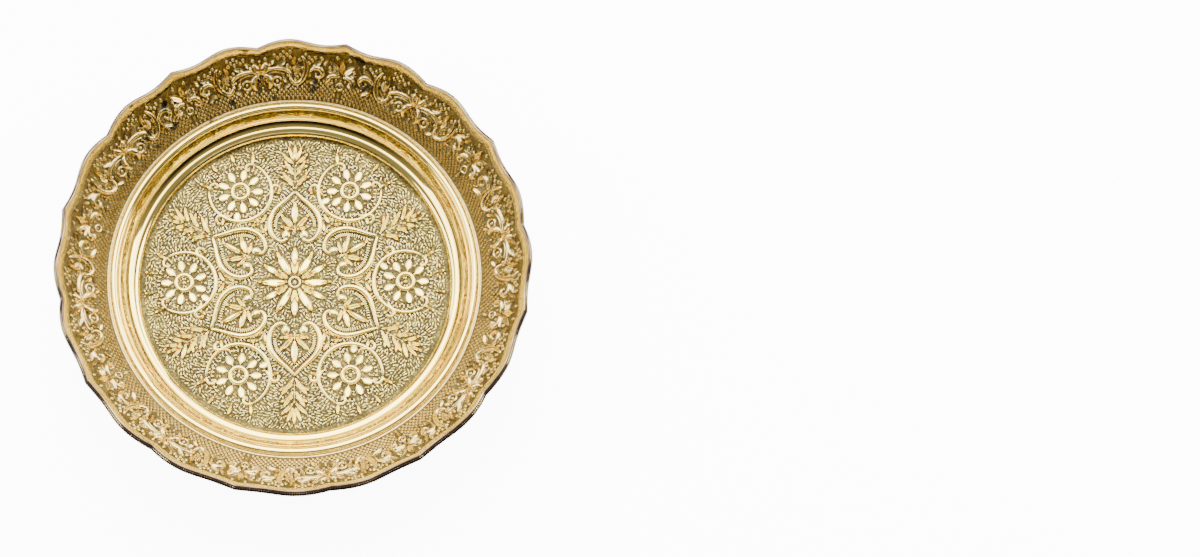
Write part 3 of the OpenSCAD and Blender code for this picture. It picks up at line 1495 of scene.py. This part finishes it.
@dataclass
class Border(Part):
    """The embossed border: a hollow sloping sheet and its raised work in eight sectors."""

    wrap_r: float = 113.0
    recess: float = 0.45
    band_w: float = 2.9
    step_w: float = 0.35
    band_hollow: float = 0.3
    band_rows: int = 6
    band_rise: float = 0.5
    margin_w: float = 0.35
    panel_foot: float = 0.7
    panel_rows: int = 48
    back_rows: int = 5
    back_rise: float = 0.6
    columns: int = 1536
    groups: int = 2
    edge_clear: float = 1.6
    lattices: tuple[Lattice, Lattice] = (
        Lattice(2.7, 2.9, 2.9, 16.6, clearance=0.6, breadth=2.45, length=2.8, height=0.8),
        Lattice(3.3, 3.5, 17.9, 32.0, clearance=0.7, breadth=3.1, length=3.4, height=0.95),
    )

    @property
    def half_w(self) -> float:
        """Half a sector's breadth, where the flat layout wraps at its true size."""
        return self.wrap_r * FULL_TURN / self.form.sectors / 2

    def build(self) -> None:
        """Makes the border's raised work and the sheet under it."""
        f = self.form
        slope = Slope.of(f)
        sector = self._sector()
        self._fill(sector)
        sector_turn = FULL_TURN / f.sectors
        works = []
        for group in range(self.groups):
            count = f.sectors // self.groups
            flat = self.chaser.raised("border_sector", sector)
            lowered = -self.recess * MM
            for vertex in flat.data.vertices:
                vertex.co.z += lowered
            works.append(slope_tree().grow(
                flat, f"border_ornament_{group + 1}", Count=count, Sink=-lowered,
                Turn=-group * count * sector_turn, Pitch=sector_turn * self.wrap_r * MM,
                Wrap_Radius=self.wrap_r * MM, Centre_Radius=slope.centre[0] * MM,
                Centre_Height=slope.centre[1] * MM, Arc_Radius=slope.radius * MM,
                Start_Angle=slope.start,
            ))
        sheet = self._sheet(slope)
        every = joined("all_work", [self._copy(work) for work in works])
        sheet = near_tree().grow(sheet, "border_sheet", Ornament=every)
        bpy.data.objects.remove(every)
        self.hand_over(sheet, "embossed_border", ["border"], 45)
        for work in works:
            self.hand_over(work, "embossed_border", ["border"], 50)

    @staticmethod
    def _copy(work: bpy.types.Object) -> bpy.types.Object:
        """A second object with its own mesh."""
        return link("copy", work.data.copy())

    def panel_top(self, x: np.ndarray) -> np.ndarray:
        """How far up the slope the embossed panel reaches, at places along a sector.

        Args:
            x: places across the sector, from its middle.

        Returns:
            The distances.
        """
        f = self.form
        outline = f.outline(np.asarray(x, float) / self.wrap_r)
        return Slope.of(f).up_to(outline - f.edge_w - self.band_w)

    def _sheet(self, slope: Slope) -> bpy.types.Object:
        """The sheet: margin, recessed panel, step and plain hollow band, with its underside.

        Args:
            slope: the border's hollow face.

        Returns:
            The closed sheet.
        """
        f = self.form
        turn = np.arange(self.columns) * FULL_TURN / self.columns
        edge = slope.up_to(f.outline(turn) - f.edge_w - f.film)
        top = slope.up_to(f.outline(turn) - f.edge_w - self.band_w)
        rows = [(np.full_like(turn, up), 0.0) for up in (f.film, self.margin_w)]
        # rise here is a fixed value, not a height: margin, band and underside get enough to stay
        # out of the painted shade; the recessed panel gets 0 and is shaded by its nearness to the
        # raised work.
        rise = [self.band_rise] * len(rows)
        for t in np.linspace(0, 1, self.panel_rows):
            up = self.panel_foot + (top - self.step_w - self.panel_foot) * t
            rows.append((up, -self.recess))
            rise.append(0.0)
        for t in np.linspace(0, 1, self.band_rows):
            rows.append((top + (edge - top) * t, -self.band_hollow * math.sin(math.pi * t)))
            rise.append(self.band_rise)
        front = len(rows)
        for t in np.linspace(1, 0, self.back_rows):
            rows.append((f.film + (edge - f.film) * t, -f.border_t))
            rise.append(self.back_rise)
        points = np.vstack([slope.at(turn, up, off) for up, off in rows])
        faces = grid_faces(len(rows), self.columns)
        last = (len(rows) - 1) * self.columns
        for i in range(self.columns):
            j = (i + 1) % self.columns
            faces.append((last + j, last + i, i, j)[::-1])
        back = (np.arange(len(rows)) >= front).astype(float)
        return mesh_object(
            "border_ground", points, faces, rise=np.repeat(rise, self.columns),
            back=np.repeat(back, self.columns),
        )

    def _sector(self) -> Pattern:
        """One eighth of the border, a cusp in its middle, outwards along +Y.

        Returns:
            The layout.
        """
        out = Pattern()
        out.add(self._tulip().doubled())
        out.add(self._scroll().doubled())
        out.add(self._fan().doubled())
        out.add(self._lily().doubled().placed((self.half_w, 0)))
        rail_up, rail_w = 0.95, 0.75
        rail = [(x, rail_up) for x in np.linspace(-self.half_w, self.half_w, 90)]
        out.ridge(rail, rail_w, rail_w, rail_w)
        return out

    def _tulip(self) -> Pattern:
        """Right half of the tulip that stands under each cusp, with its wing and ring.

        Returns:
            The layout.
        """
        half = Pattern()
        petal = smooth_path([(0.3, 17.0), (1.3, 19.0), (1.9, 21.6), (3.6, 24.8)], 0.5)
        half.ridge(petal, 1.3, 3.5, 1.8)
        half.leaves(
            (2.4, 19.0, 34, 3.0, 7.4, 1.1), (0, 18.2, 0, 3.0, 7.2, 0.9),
        )
        half.knob((0, 25.6), 1.7, 0.9)
        wing = smooth_path(
            [(0.9, 17.2), (3.2, 16.4), (4.8, 13.8), (4.6, 10.6), (3.0, 8.6)], 0.5)
        half.ridge(wing, 1.4, 4.0, 1.2)
        half.ridge([(0, 10.5), (0, 13.5), (0, 17.0)], 0.7, 1.1, 0.9)
        half.knob((0, 9.4), 1.7, 0.9)
        half.ring((8.6, 12.6), 2.5, 1.4)
        half.knob((8.6, 12.6), 2.2, 0.9)
        half.stamp(Motif.LEAF, (5.6, 9.6), 140, 1.9, 4.6, 0.8)
        return half

    def _scroll(self) -> Pattern:
        """Right half of the two-line scroll that runs from a tulip to its fan.

        Returns:
            The layout.
        """
        half = Pattern()
        arm = smooth_path(
            [(1.6, 18.2), (4.6, 20.0), (9.2, 20.4), (13.4, 19.4), (16.0, 17.4), (16.3, 15.6),
             (14.8, 15.0)], 0.6)
        half.ridge(arm, 1.4, 2.6, 1.5)
        inner = smooth_path([(3.6, 17.6), (7.0, 18.2), (10.6, 17.6), (13.2, 16.2)], 0.6)
        half.ridge(inner, 0.7, 1.0, 0.7)
        half.leaves(
            (8.2, 21.0, 58, 3.0, 7.4, 1.0), (4.4, 22.0, 40, 2.6, 6.0, 1.0),
            (11.6, 16.2, 150, 2.8, 6.6, 1.0), (12.0, 8.4, 62, 2.4, 5.8, 0.9),
        )
        half.knob((14.7, 15.6), 1.7, 0.9)
        return half

    def _fan(self) -> Pattern:
        """Right half of the striped fan leaf and the scroll beyond it.

        Returns:
            The layout.
        """
        half = Pattern()
        rim = smooth_path(
            [(22.6, 27.6), (24.1, 24.4), (24.8, 20.2), (24.0, 15.6), (21.8, 12.0), (18.8, 10.8),
             (16.8, 12.4), (16.0, 14.6)], 0.6)
        half.ridge(rim, 1.4, 3.3, 1.6)
        strokes = 8
        for k in range(strokes):
            turn = 18 + k * 15.5
            reach = 6.6 - 0.32 * k
            half.stamp(Motif.DASH, (17.4, 18.8), turn, 1.15, reach, 0.9)
        half.stamp(Motif.LEAF, (17.4, 19.8), 10, 3.0, 8.4, 1.0)
        hook = smooth_path(
            [(26.2, 17.6), (29.2, 20.4), (32.6, 20.2), (34.0, 17.2), (32.0, 14.8), (30.0, 15.8)],
            0.6)
        half.ridge(hook, 1.2, 3.0, 1.4)
        half.knob((30.3, 16.6), 1.7, 0.9)
        half.leaves(
            (26.6, 13.0, 116, 3.0, 7.2, 1.0), (26.4, 15.2, 165, 2.4, 6.0, 0.9),
            (27.6, 21.2, 58, 3.0, 7.0, 1.0), (33.6, 21.8, 30, 2.4, 5.4, 0.9),
        )
        return half

    def _lily(self) -> Pattern:
        """Right half of the lily at each outward point, about its own middle line.

        Returns:
            The layout.
        """
        half = Pattern()
        half.leaves(
            (0, 19.0, 0, 4.2, 9.4, 1.1), (0.7, 18.4, 40, 4.2, 9.6, 1.1),
            (1.2, 17.8, 76, 3.0, 7.0, 1.0),
        )
        curl = smooth_path(
            [(0.6, 16.8), (3.4, 17.4), (6.2, 16.4), (7.2, 13.8), (5.6, 12.2), (4.0, 13.2)], 0.5)
        half.ridge(curl, 1.3, 3.1, 1.3)
        half.knob((4.9, 13.9), 1.7, 0.9)
        half.ring((0, 11.2), 1.9, 1.1)
        half.stamp(Motif.LEAF, (0, 8.9), 180, 2.4, 4.6, 0.9)
        half.ridge([(0, 13.0), (0, 15.0), (0, 18.0)], 0.9, 1.2, 0.9)
        return half

    def _fill(self, sector: Pattern) -> None:
        """Fills the ground: rows of little diamonds below, a coarser lattice in the lobes.

        Args:
            sector: the layout that takes the diamonds.
        """
        spots = sector.spots()
        shift = np.array([2 * self.half_w, 0, 0])
        around = np.vstack([spots, spots + shift, spots - shift])
        clear = self.edge_clear
        for lattice in self.lattices:
            places = lattice.places(self.half_w)
            tops = [self.panel_top(places[:, 0] + side) for side in (-clear, 0.0, clear)]
            inside = places[places[:, 1] < np.min(tops, axis=0) - clear]
            for x, y, _ in sector.free(inside, lattice.clearance, around):
                sector.stamp(
                    Motif.DIAMOND, (x, y - lattice.length / 2), 0, lattice.breadth,
                    lattice.length, lattice.height)


# ---------------------------------------------------------------- reeded edge


@dataclass
class EdgeStrips(Part):
    """The eight mitred lengths of the edge, each a wedge with struck reeds on its face."""

    stations: int = 120
    reeds: int = 80
    reed_w: float = 1.16
    reed_h: float = 0.34
    soft: float = 0.3
    lap: float = 0.7
    face_rise: float = 0.35
    crest_rise: float = 0.7
    face_from: float = 0.15
    reed_rise: float = 0.25

    def build(self) -> None:
        """Makes the eight lengths."""
        for k in range(1, self.form.sectors + 1):
            body = self._body(k)
            reeds = self._reeds(k)
            strip = joined(f"edge_strip_{k}_reeded", [body, reeds])
            self.hand_over(strip, "reeded_edge", [f"edge_strip_{k}"], 50)

    def _base(self, turn: np.ndarray) -> tuple[np.ndarray, np.ndarray]:
        """Radius and height of the border's edge, where the strip meets it.

        Args:
            turn: angles round the tray, in radians.

        Returns:
            The radii and the heights, in millimetres.
        """
        slope = Slope.of(self.form)
        r = self.form.outline(turn) - self.form.edge_w
        return r, slope.centre[1] - np.sqrt(slope.radius**2 - (r - slope.centre[0]) ** 2)

    def _places(self, turn: np.ndarray, out: float, up: float) -> np.ndarray:
        """Places at an offset from the border's edge, in metres.

        Args:
            turn: angles round the tray, in radians.
            out: how far outwards from the edge.
            up: how far above it.

        Returns:
            Rows of x, y, z.
        """
        r, z = self._base(turn)
        r = r + out
        return np.stack([r * np.cos(turn), r * np.sin(turn), z + up], axis=-1) * MM

    def _body(self, k: int) -> bpy.types.Object:
        """The wedge of length k, closed by its two mitred ends.

        Args:
            k: the strip's number, from 1.

        Returns:
            The closed wedge.
        """
        f = self.form
        lap = self.lap
        corners = [
            (-lap, -lap), (0.0, -2.2 * lap), (0.0, -f.edge_depth), (f.edge_w * 0.6, -f.edge_depth),
            (f.edge_w - self.reed_h * 0.6, -f.edge_drop), (0.1, f.crest_h - 0.15),
            (-lap * 0.5, f.crest_h), (-lap, 0.0),
        ]
        section = eased(corners, self.soft)
        sector = FULL_TURN / f.sectors
        turn = (k - 0.5 + np.linspace(0, 1, self.stations + 1)) * sector
        rows = np.stack([self._places(turn, out, up) for out, up in section], axis=1)
        n = len(section)
        faces = [
            (i * n + j, i * n + (j + 1) % n, (i + 1) * n + (j + 1) % n, (i + 1) * n + j)
            for i in range(self.stations) for j in range(n)
        ]
        faces.append(tuple(range(n))[::-1])
        faces.append(tuple(self.stations * n + j for j in range(n)))
        rise = [self.face_rise if out > self.face_from else self.crest_rise for out, _ in section]
        rise = np.tile(rise, self.stations + 1)
        return mesh_object("strip_body", rows.reshape(-1, 3), faces, rise=rise)

    def _reeds(self, k: int) -> bpy.types.Object:
        """The reeds struck across the strip's slanting face.

        Args:
            k: the strip's number, from 1.

        Returns:
            One mesh of all its reeds.
        """
        f = self.form
        sector = FULL_TURN / f.sectors
        turn = (k - 0.5 + (np.arange(self.reeds) + 0.5) / self.reeds) * sector
        top = self._places(turn, 0.0, f.crest_h - 0.05)
        low = self._places(turn, f.edge_w - self.reed_h * 0.3, -f.edge_drop - 0.2)
        ahead = self._places(turn + 1e-3, f.edge_w * 0.5, 0) - self._places(
            turn - 1e-3, f.edge_w * 0.5, 0)
        down = (low - top) / np.linalg.norm(low - top, axis=1)[:, None]
        across = -ahead / np.linalg.norm(ahead, axis=1)[:, None]
        face = np.cross(across, down)
        face /= np.linalg.norm(face, axis=1)[:, None]
        across = np.cross(down, face)
        turns = [
            Matrix((x, y, z)).transposed().to_euler("XYZ") for x, y, z in zip(across, down, face)
        ]
        length = np.linalg.norm(low - top, axis=1)
        size = np.column_stack([
            np.full(self.reeds, self.reed_w * MM), length, np.full(self.reeds, self.reed_h * MM)
        ])
        reeds = self.chaser.struck(Motif.REED, top, np.array([tuple(t) for t in turns]), size)
        high = [self.reed_rise * v.co.z for v in self.chaser.punches[Motif.REED].data.vertices]
        layer = reeds.data.attributes.new("rise", "FLOAT", "POINT")
        layer.data.foreach_set("value", np.tile(high, self.reeds))
        return reeds


# ---------------------------------------------------------------- solder


@dataclass
class SolderRuns(Part):
    """The solder under the tray: its solids are right as they are and only get their finish."""

    def build(self) -> None:
        """Dresses the four solder nodes."""
        for node in ("plate_solder", "foot_solder", "border_solder", "edge_solder"):
            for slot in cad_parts[node].material_slots:
                slot.material = self.finishes["solder"]
            LOG.info("%s: kept as the solid, finish solder", node)


# ---------------------------------------------------------------- finishes


class FinishKit(NodeKit):
    """A material's tree with the things that every finish here starts from."""

    def __init__(self, name: str, metallic: float = 1.0) -> None:
        """Starts a material with one Principled shader.

        Args:
            name: the material's name.
            metallic: 1 for metal, 0 for anything else.
        """
        self.material = bpy.data.materials.new(name)
        self.material.use_nodes = True
        super().__init__(self.material.node_tree)
        nodes = self.material.node_tree.nodes
        self.shader = next(n for n in nodes if n.type == "BSDF_PRINCIPLED")
        self.shader.inputs["Metallic"].default_value = metallic
        self.place = self.node("ShaderNodeTexCoord").also("Object")

    def attribute(self, name: str) -> Expr:
        """A number that the mesh carries at each point."""
        return self.node("ShaderNodeAttribute", {"attribute_name": name}).also("Fac")

    def noise(self, size_mm: float, detail: float = 3.0, place: Expr | None = None) -> Expr:
        """Soft noise between 0 and 1.

        Args:
            size_mm: about how wide its patches are.
            detail: how many finer layers it has.
            place: where it is read; the object's own coordinates if left out.

        Returns:
            The noise.
        """
        return self.node(
            "ShaderNodeTexNoise", {},
            {"Vector": place or self.place, "Scale": 1 / (size_mm * MM), "Detail": detail},
        )

    def mix(self, amount: Expr, low: "Expr | tuple", high: "Expr | tuple") -> Expr:
        """Mixes two colours.

        Args:
            amount: 0 gives low, 1 gives high.
            low: one colour.
            high: the other colour.

        Returns:
            The mixed colour.
        """
        made = self.tree.nodes.new("ShaderNodeMix")
        made.data_type = "RGBA"
        self.tree.links.new(amount.socket, made.inputs["Factor"])
        for socket, value in zip([s for s in made.inputs if s.type == "RGBA"], (low, high)):
            if isinstance(value, Expr):
                self.tree.links.new(value.socket, socket)
            else:
                socket.default_value = (*value, 1.0)
        return Expr(self, next(s for s in made.outputs if s.type == "RGBA"))

    def ends(
        self, colour: Expr, roughness: Expr, height: Expr, distance_mm: float, strength: float
    ) -> bpy.types.Material:
        """Joins the finish to its shader.

        Args:
            colour: base colour.
            roughness: roughness.
            height: the bump's height, 0 to 1.
            distance_mm: how deep a full step of height looks.
            strength: how strongly the bump shows.

        Returns:
            The finished material.
        """
        bump = self.node(
            "ShaderNodeBump", {},
            {"Height": height, "Distance": distance_mm * MM, "Strength": strength},
        )
        for name, value in (("Base Color", colour), ("Roughness", roughness), ("Normal", bump)):
            self.tree.links.new(value.socket, self.shader.inputs[name])
        return self.material


@dataclass(frozen=True)
class EmbossedBrass:
    """Pressed brass, matted ground; painted shade in a dark brown-wax colour in the hollows, at the
    foot of the raised work and on the ground round it; bright brass on the tops.
    """

    name: str
    # Painted shade: the first colour is the dark brown-wax colour painted at the foot of the raised
    # work and on the ground round it; top is the bright brass that height lifts the shapes to.
    hollow_shade: tuple[float, float, float] = (0.055, 0.042, 0.015)
    ground: tuple[float, float, float] = (0.47, 0.365, 0.11)
    top: tuple[float, float, float] = (1.0, 0.83, 0.22)
    tall: float = 0.6
    ground_tone: float = 0.1
    speckle: float = 0.45
    pebble_mm: float = 0.8
    patch_mm: float = 9.0
    fine_mm: float = 0.9
    stain_mm: float = 10.0
    stain_amount: tuple[float, float] = (0.64, 0.7)
    stain_far: tuple[float, float] = (65.0, 95.0)
    stained: float = 0.0
    stain: tuple[float, float, float] = (0.045, 0.045, 0.04)

    def build(self) -> bpy.types.Material:
        """Makes the material.

        Returns:
            The finished material.
        """
        k = FinishKit(self.name)
        rise, near = k.attribute("rise"), k.attribute("near")
        patches = k.noise(self.patch_mm, 4.0)
        fine = k.noise(self.fine_mm, 3.0)
        matted = 1 - rise.ramp(0.1, 0.45)
        # Painted shade: tone climbs with height above the ground and with distance from the raised
        # work, so feet, hollows and the ground round the shapes take the dark brown-wax colour.
        unshaded_ground = near.ramp(0.0, 0.4) * self.ground_tone
        tone = rise.ramp(0.05, self.tall).math("MAXIMUM", unshaded_ground)
        tone = tone + (patches - 0.5) * 0.3 + (fine - 0.5) * (0.12 + matted * self.speckle)
        tone = tone.clamped()
        # Painted shade at the dark end of the tone, bright brass at the top end.
        colour = k.mix(tone.ramp(0.0, 0.45), self.hollow_shade, self.ground)
        colour = k.mix(tone.ramp(0.4, 0.9), colour, self.top)
        _, y, _ = k.split(k.place)
        spots = k.noise(self.stain_mm, 1.0).ramp(*self.stain_amount)
        spots = spots * (y / MM).ramp(*self.stain_far)
        spots = spots * (1 - k.attribute("back"))
        colour = k.mix(spots * self.stained, colour, self.stain)
        roughness = 0.46 - tone * 0.3 + (fine - 0.5) * 0.08 + (patches - 0.5) * 0.06
        pebbles = k.node(
            "ShaderNodeTexVoronoi", {"feature": "SMOOTH_F1"},
            {"Vector": k.place, "Scale": 1 / (self.pebble_mm * MM)},
        )
        height = pebbles * matted * 0.9 + fine * 0.2 + k.noise(2.2, 2.0) * 0.35
        return k.ends(colour, roughness, height, 0.5, 0.8)


@dataclass(frozen=True)
class PolishedBrass:
    """Spun and buffed brass with faint turning marks and hair scratches."""

    name: str
    bright: tuple[float, float, float] = (1.0, 0.80, 0.22)
    warm: tuple[float, float, float] = (0.98, 0.70, 0.17)
    gloss: float = 0.045
    mark_mm: float = 0.5
    patch_mm: float = 14.0
    scratch_mm: float = 1.0
    scratch_stretch: float = 0.12

    def build(self) -> bpy.types.Material:
        """Makes the material.

        Returns:
            The finished material.
        """
        k = FinishKit(self.name)
        x, y, z = k.split(k.place)
        reach = (x * x + y * y) ** 0.5
        marks = k.noise(self.mark_mm, 3.0, k.xyz(reach, 0.0, z))
        patches = k.noise(self.patch_mm, 3.0)
        along = k.xyz(x * self.scratch_stretch, y, z * self.scratch_stretch)
        scratches = k.noise(self.scratch_mm, 4.0, along)
        tone = (patches.ramp(0.3, 0.75) * 0.6 + marks * 0.3).clamped()
        colour = k.mix(tone, self.bright, self.warm)
        worn = scratches.ramp(0.62, 0.8) * 0.1
        roughness = self.gloss + marks * 0.05 + patches.ramp(0.4, 0.8) * 0.05 + worn
        return k.ends(colour, roughness, marks * 0.7 + scratches * 0.3, 0.03, 0.25)


@dataclass(frozen=True)
class ReededBrass:
    """The edge: brown-purple tarnish between the reeds, rubbed brass on their crests."""

    name: str
    tarnish: tuple[float, float, float] = (0.035, 0.018, 0.016)
    brown: tuple[float, float, float] = (0.15, 0.085, 0.07)
    rubbed: tuple[float, float, float] = (0.72, 0.53, 0.30)
    patch_mm: float = 16.0
    fine_mm: float = 0.6

    def build(self) -> bpy.types.Material:
        """Makes the material.

        Returns:
            The finished material.
        """
        k = FinishKit(self.name)
        rise = k.attribute("rise")
        patches = k.noise(self.patch_mm, 3.0)
        fine = k.noise(self.fine_mm, 3.0)
        tone = (rise + (patches - 0.45) * 1.1 + (fine - 0.5) * 0.2).clamped()
        colour = k.mix(tone.ramp(0.0, 0.55), self.tarnish, self.brown)
        colour = k.mix(tone.ramp(0.5, 1.0), colour, self.rubbed)
        roughness = 0.5 - tone * 0.24 + (patches - 0.5) * 0.1
        return k.ends(colour, roughness, fine * 0.6 + patches * 0.4, 0.15, 0.4)


@dataclass(frozen=True)
class TurnedBrass:
    """The foot: turned, never polished, dulled where it rubs on tables."""

    name: str
    brass: tuple[float, float, float] = (0.74, 0.57, 0.29)
    dull: tuple[float, float, float] = (0.42, 0.31, 0.16)
    rub_z: float = 0.4
    line_mm: float = 0.35
    patch_mm: float = 11.0

    def build(self) -> bpy.types.Material:
        """Makes the material.

        Returns:
            The finished material.
        """
        k = FinishKit(self.name)
        x, y, z = k.split(k.place)
        reach = (x * x + y * y) ** 0.5
        lines = k.noise(self.line_mm, 2.0, k.xyz(reach, 0.0, z))
        patches = k.noise(self.patch_mm, 4.0)
        rubbed = 1 - (z / MM).ramp(0.0, self.rub_z)
        tone = (patches.ramp(0.3, 0.7) * 0.6 + lines * 0.3 - rubbed * 0.25).clamped()
        colour = k.mix(tone, self.brass, self.dull)
        roughness = 0.34 + tone * 0.16 + rubbed * 0.08
        return k.ends(colour, roughness, lines, 0.06, 0.5)


@dataclass(frozen=True)
class SolderGrey:
    """Soft solder: dull grey with pits and a brown flux stain."""

    name: str
    bright: tuple[float, float, float] = (0.58, 0.57, 0.53)
    stain: tuple[float, float, float] = (0.30, 0.25, 0.18)
    patch_mm: float = 3.0
    pit_mm: float = 0.5

    def build(self) -> bpy.types.Material:
        """Makes the material.

        Returns:
            The finished material.
        """
        k = FinishKit(self.name)
        patches = k.noise(self.patch_mm, 4.0)
        pits = k.noise(self.pit_mm, 2.0)
        colour = k.mix(patches.ramp(0.4, 0.75), self.bright, self.stain)
        roughness = 0.38 + patches * 0.2 + pits.ramp(0.5, 0.8) * 0.15
        return k.ends(colour, roughness, pits * 0.5 + patches * 0.5, 0.2, 0.6)


def make_finishes() -> dict[str, bpy.types.Material]:
    """The six finishes, by the record's slots."""
    makers = {
        "embossed_plate": EmbossedBrass("embossed_plate_brass"),
        # The border paints the same shade at the foot of its raised work and on the ground round
        # it, in a lighter brown-wax colour.
        "embossed_border": EmbossedBrass(
            "embossed_border_brass", hollow_shade=(0.10, 0.074, 0.026), ground=(0.46, 0.345, 0.125),
            top=(0.74, 0.565, 0.21), ground_tone=0.12, speckle=0.4, stained=0.85,
        ),
        "polished_ring": PolishedBrass("polished_ring_brass"),
        "reeded_edge": ReededBrass("reeded_edge_brass"),
        "foot": TurnedBrass("foot_brass"),
        "solder": SolderGrey("solder_grey"),
    }
    return {slot: maker.build() for slot, maker in makers.items()}


# ---------------------------------------------------------------- studio


def direction(azimuth_deg: float, elevation_deg: float) -> Vector:
    """The way from the tray's middle to a place round it.

    Args:
        azimuth_deg: 0 is straight in front, 90 to the right, 180 behind.
        elevation_deg: 0 is level, 90 straight above.

    Returns:
        A vector of length 1.
    """
    e, a = math.radians(elevation_deg), math.radians(azimuth_deg)
    return Vector((math.sin(a) * math.cos(e), -math.cos(a) * math.cos(e), math.sin(e)))


@dataclass(frozen=True)
class SoftBox:
    """A square of soft light that looks at the tray."""

    name: str
    azimuth_deg: float
    elevation_deg: float
    distance: float
    size: tuple[float, float]
    glow: float

    def build(self) -> None:
        """Hangs the box and turns it towards the tray."""
        way = direction(self.azimuth_deg, self.elevation_deg)
        light = bpy.data.lights.new(self.name, "AREA")
        light.shape = "RECTANGLE"
        light.size, light.size_y = self.size
        light.energy = self.glow * math.pi * self.size[0] * self.size[1]
        made = bpy.data.objects.new(self.name, light)
        made.location = way * self.distance
        made.rotation_euler = way.to_track_quat("Z", "Y").to_euler()
        bpy.context.scene.collection.objects.link(made)


@dataclass
class Studio:
    """A white floor, a white room of light and the camera."""

    elevation_deg: float = 73.0
    azimuth_deg: float = -2.9
    roll_deg: float = 6.4
    distance: float = 1.2
    lens_mm: float = 65.8
    shift: Point = (0.2544, 0.003)
    floor_white: float = 0.9
    floor_glow: float = 10.0
    low_glow: float = 0.32
    high_glow: float = 10.5
    high_tilt_deg: float = 34.0
    front_dark: float = 0.02
    target: Vector = field(default_factory=lambda: Vector((0, 0, 0.0034)))
    boxes: tuple[SoftBox, ...] = (
        SoftBox("front_light", 5, 48, 1.3, (1.5, 0.05), 3.0),
        SoftBox("right_light", 108, 30, 1.2, (1.1, 0.6), 10.0),
        SoftBox("left_light", -106, 32, 1.2, (1.0, 0.5), 7.5),
        SoftBox("back_light", 170, 30, 1.3, (1.3, 0.4), 4.5),
    )

    def build(self) -> None:
        """Sets up everything round the tray."""
        self._floor()
        self._world()
        for box in self.boxes:
            box.build()
        self._camera()

    def _floor(self) -> None:
        """A wide white floor that glows for the camera and lights nothing itself."""
        half = 4.0
        corners = np.array([(-half, -half, 0), (half, -half, 0), (half, half, 0), (-half, half, 0)])
        floor = mesh_object("studio_floor", corners, [(0, 1, 2, 3)])
        k = FinishKit("studio_white", metallic=0.0)
        k.shader.inputs["Base Color"].default_value = (*(self.floor_white,) * 3, 1.0)
        k.shader.inputs["Roughness"].default_value = 0.9
        k.shader.inputs["Emission Color"].default_value = (1.0, 1.0, 1.0, 1.0)
        k.shader.inputs["Emission Strength"].default_value = self.floor_glow
        floor.data.materials.append(k.material)
        floor.visible_diffuse = floor.visible_glossy = False

    def _world(self) -> None:
        """A pale ceiling over dimmer walls, darkest low down in front."""
        world = bpy.data.worlds.new("studio_world")
        world.use_nodes = True
        k = NodeKit(world.node_tree)
        way = k.node("ShaderNodeTexCoord").also("Generated")
        _, y, z = k.split(way)
        low_front = (0 - y).ramp(0.2, 0.7) * (1 - z.ramp(0.3, 0.62)) * z.ramp(-0.5, -0.2)
        tilt = math.radians(self.high_tilt_deg)
        high = z * math.cos(tilt) + y * math.sin(tilt)
        glow = self.low_glow + (self.high_glow - self.low_glow) * high.ramp(0.80, 0.97)
        glow = glow * (1 - low_front * (1 - self.front_dark))
        background = world.node_tree.nodes["Background"]
        background.inputs["Color"].default_value = (1.0, 0.985, 0.96, 1.0)
        k.tree.links.new(glow.socket, background.inputs["Strength"])
        bpy.context.scene.world = world

    def _camera(self) -> None:
        """The camera: high in front, a little to the left, and rolled."""
        back = direction(self.azimuth_deg, self.elevation_deg)
        lens = bpy.data.cameras.new("main_camera")
        lens.lens = self.lens_mm
        lens.shift_x, lens.shift_y = self.shift
        lens.clip_start, lens.clip_end = 0.05, 20.0
        made = bpy.data.objects.new("main_camera", lens)
        level = back.to_track_quat("Z", "Y").to_matrix()
        roll = Matrix.Rotation(-math.radians(self.roll_deg), 3, "Z")
        made.matrix_world = Matrix.Translation(self.target + back * self.distance) @ (
            level @ roll).to_4x4()
        bpy.context.scene.collection.objects.link(made)
        bpy.context.scene.camera = made


def main() -> None:
    """Builds the tray and its studio."""
    logging.basicConfig(level=logging.INFO, format="%(name)s: %(message)s")
    form = TrayForm.from_frame()
    chaser = Chaser()
    finishes = make_finishes()
    for kind in (CentrePlate, FootRing, WellRing, Border, EdgeStrips, SolderRuns):
        kind(form, chaser, finishes).build()
    chaser.put_away()
    Studio().build()


if __name__ == "__main__":
    main()
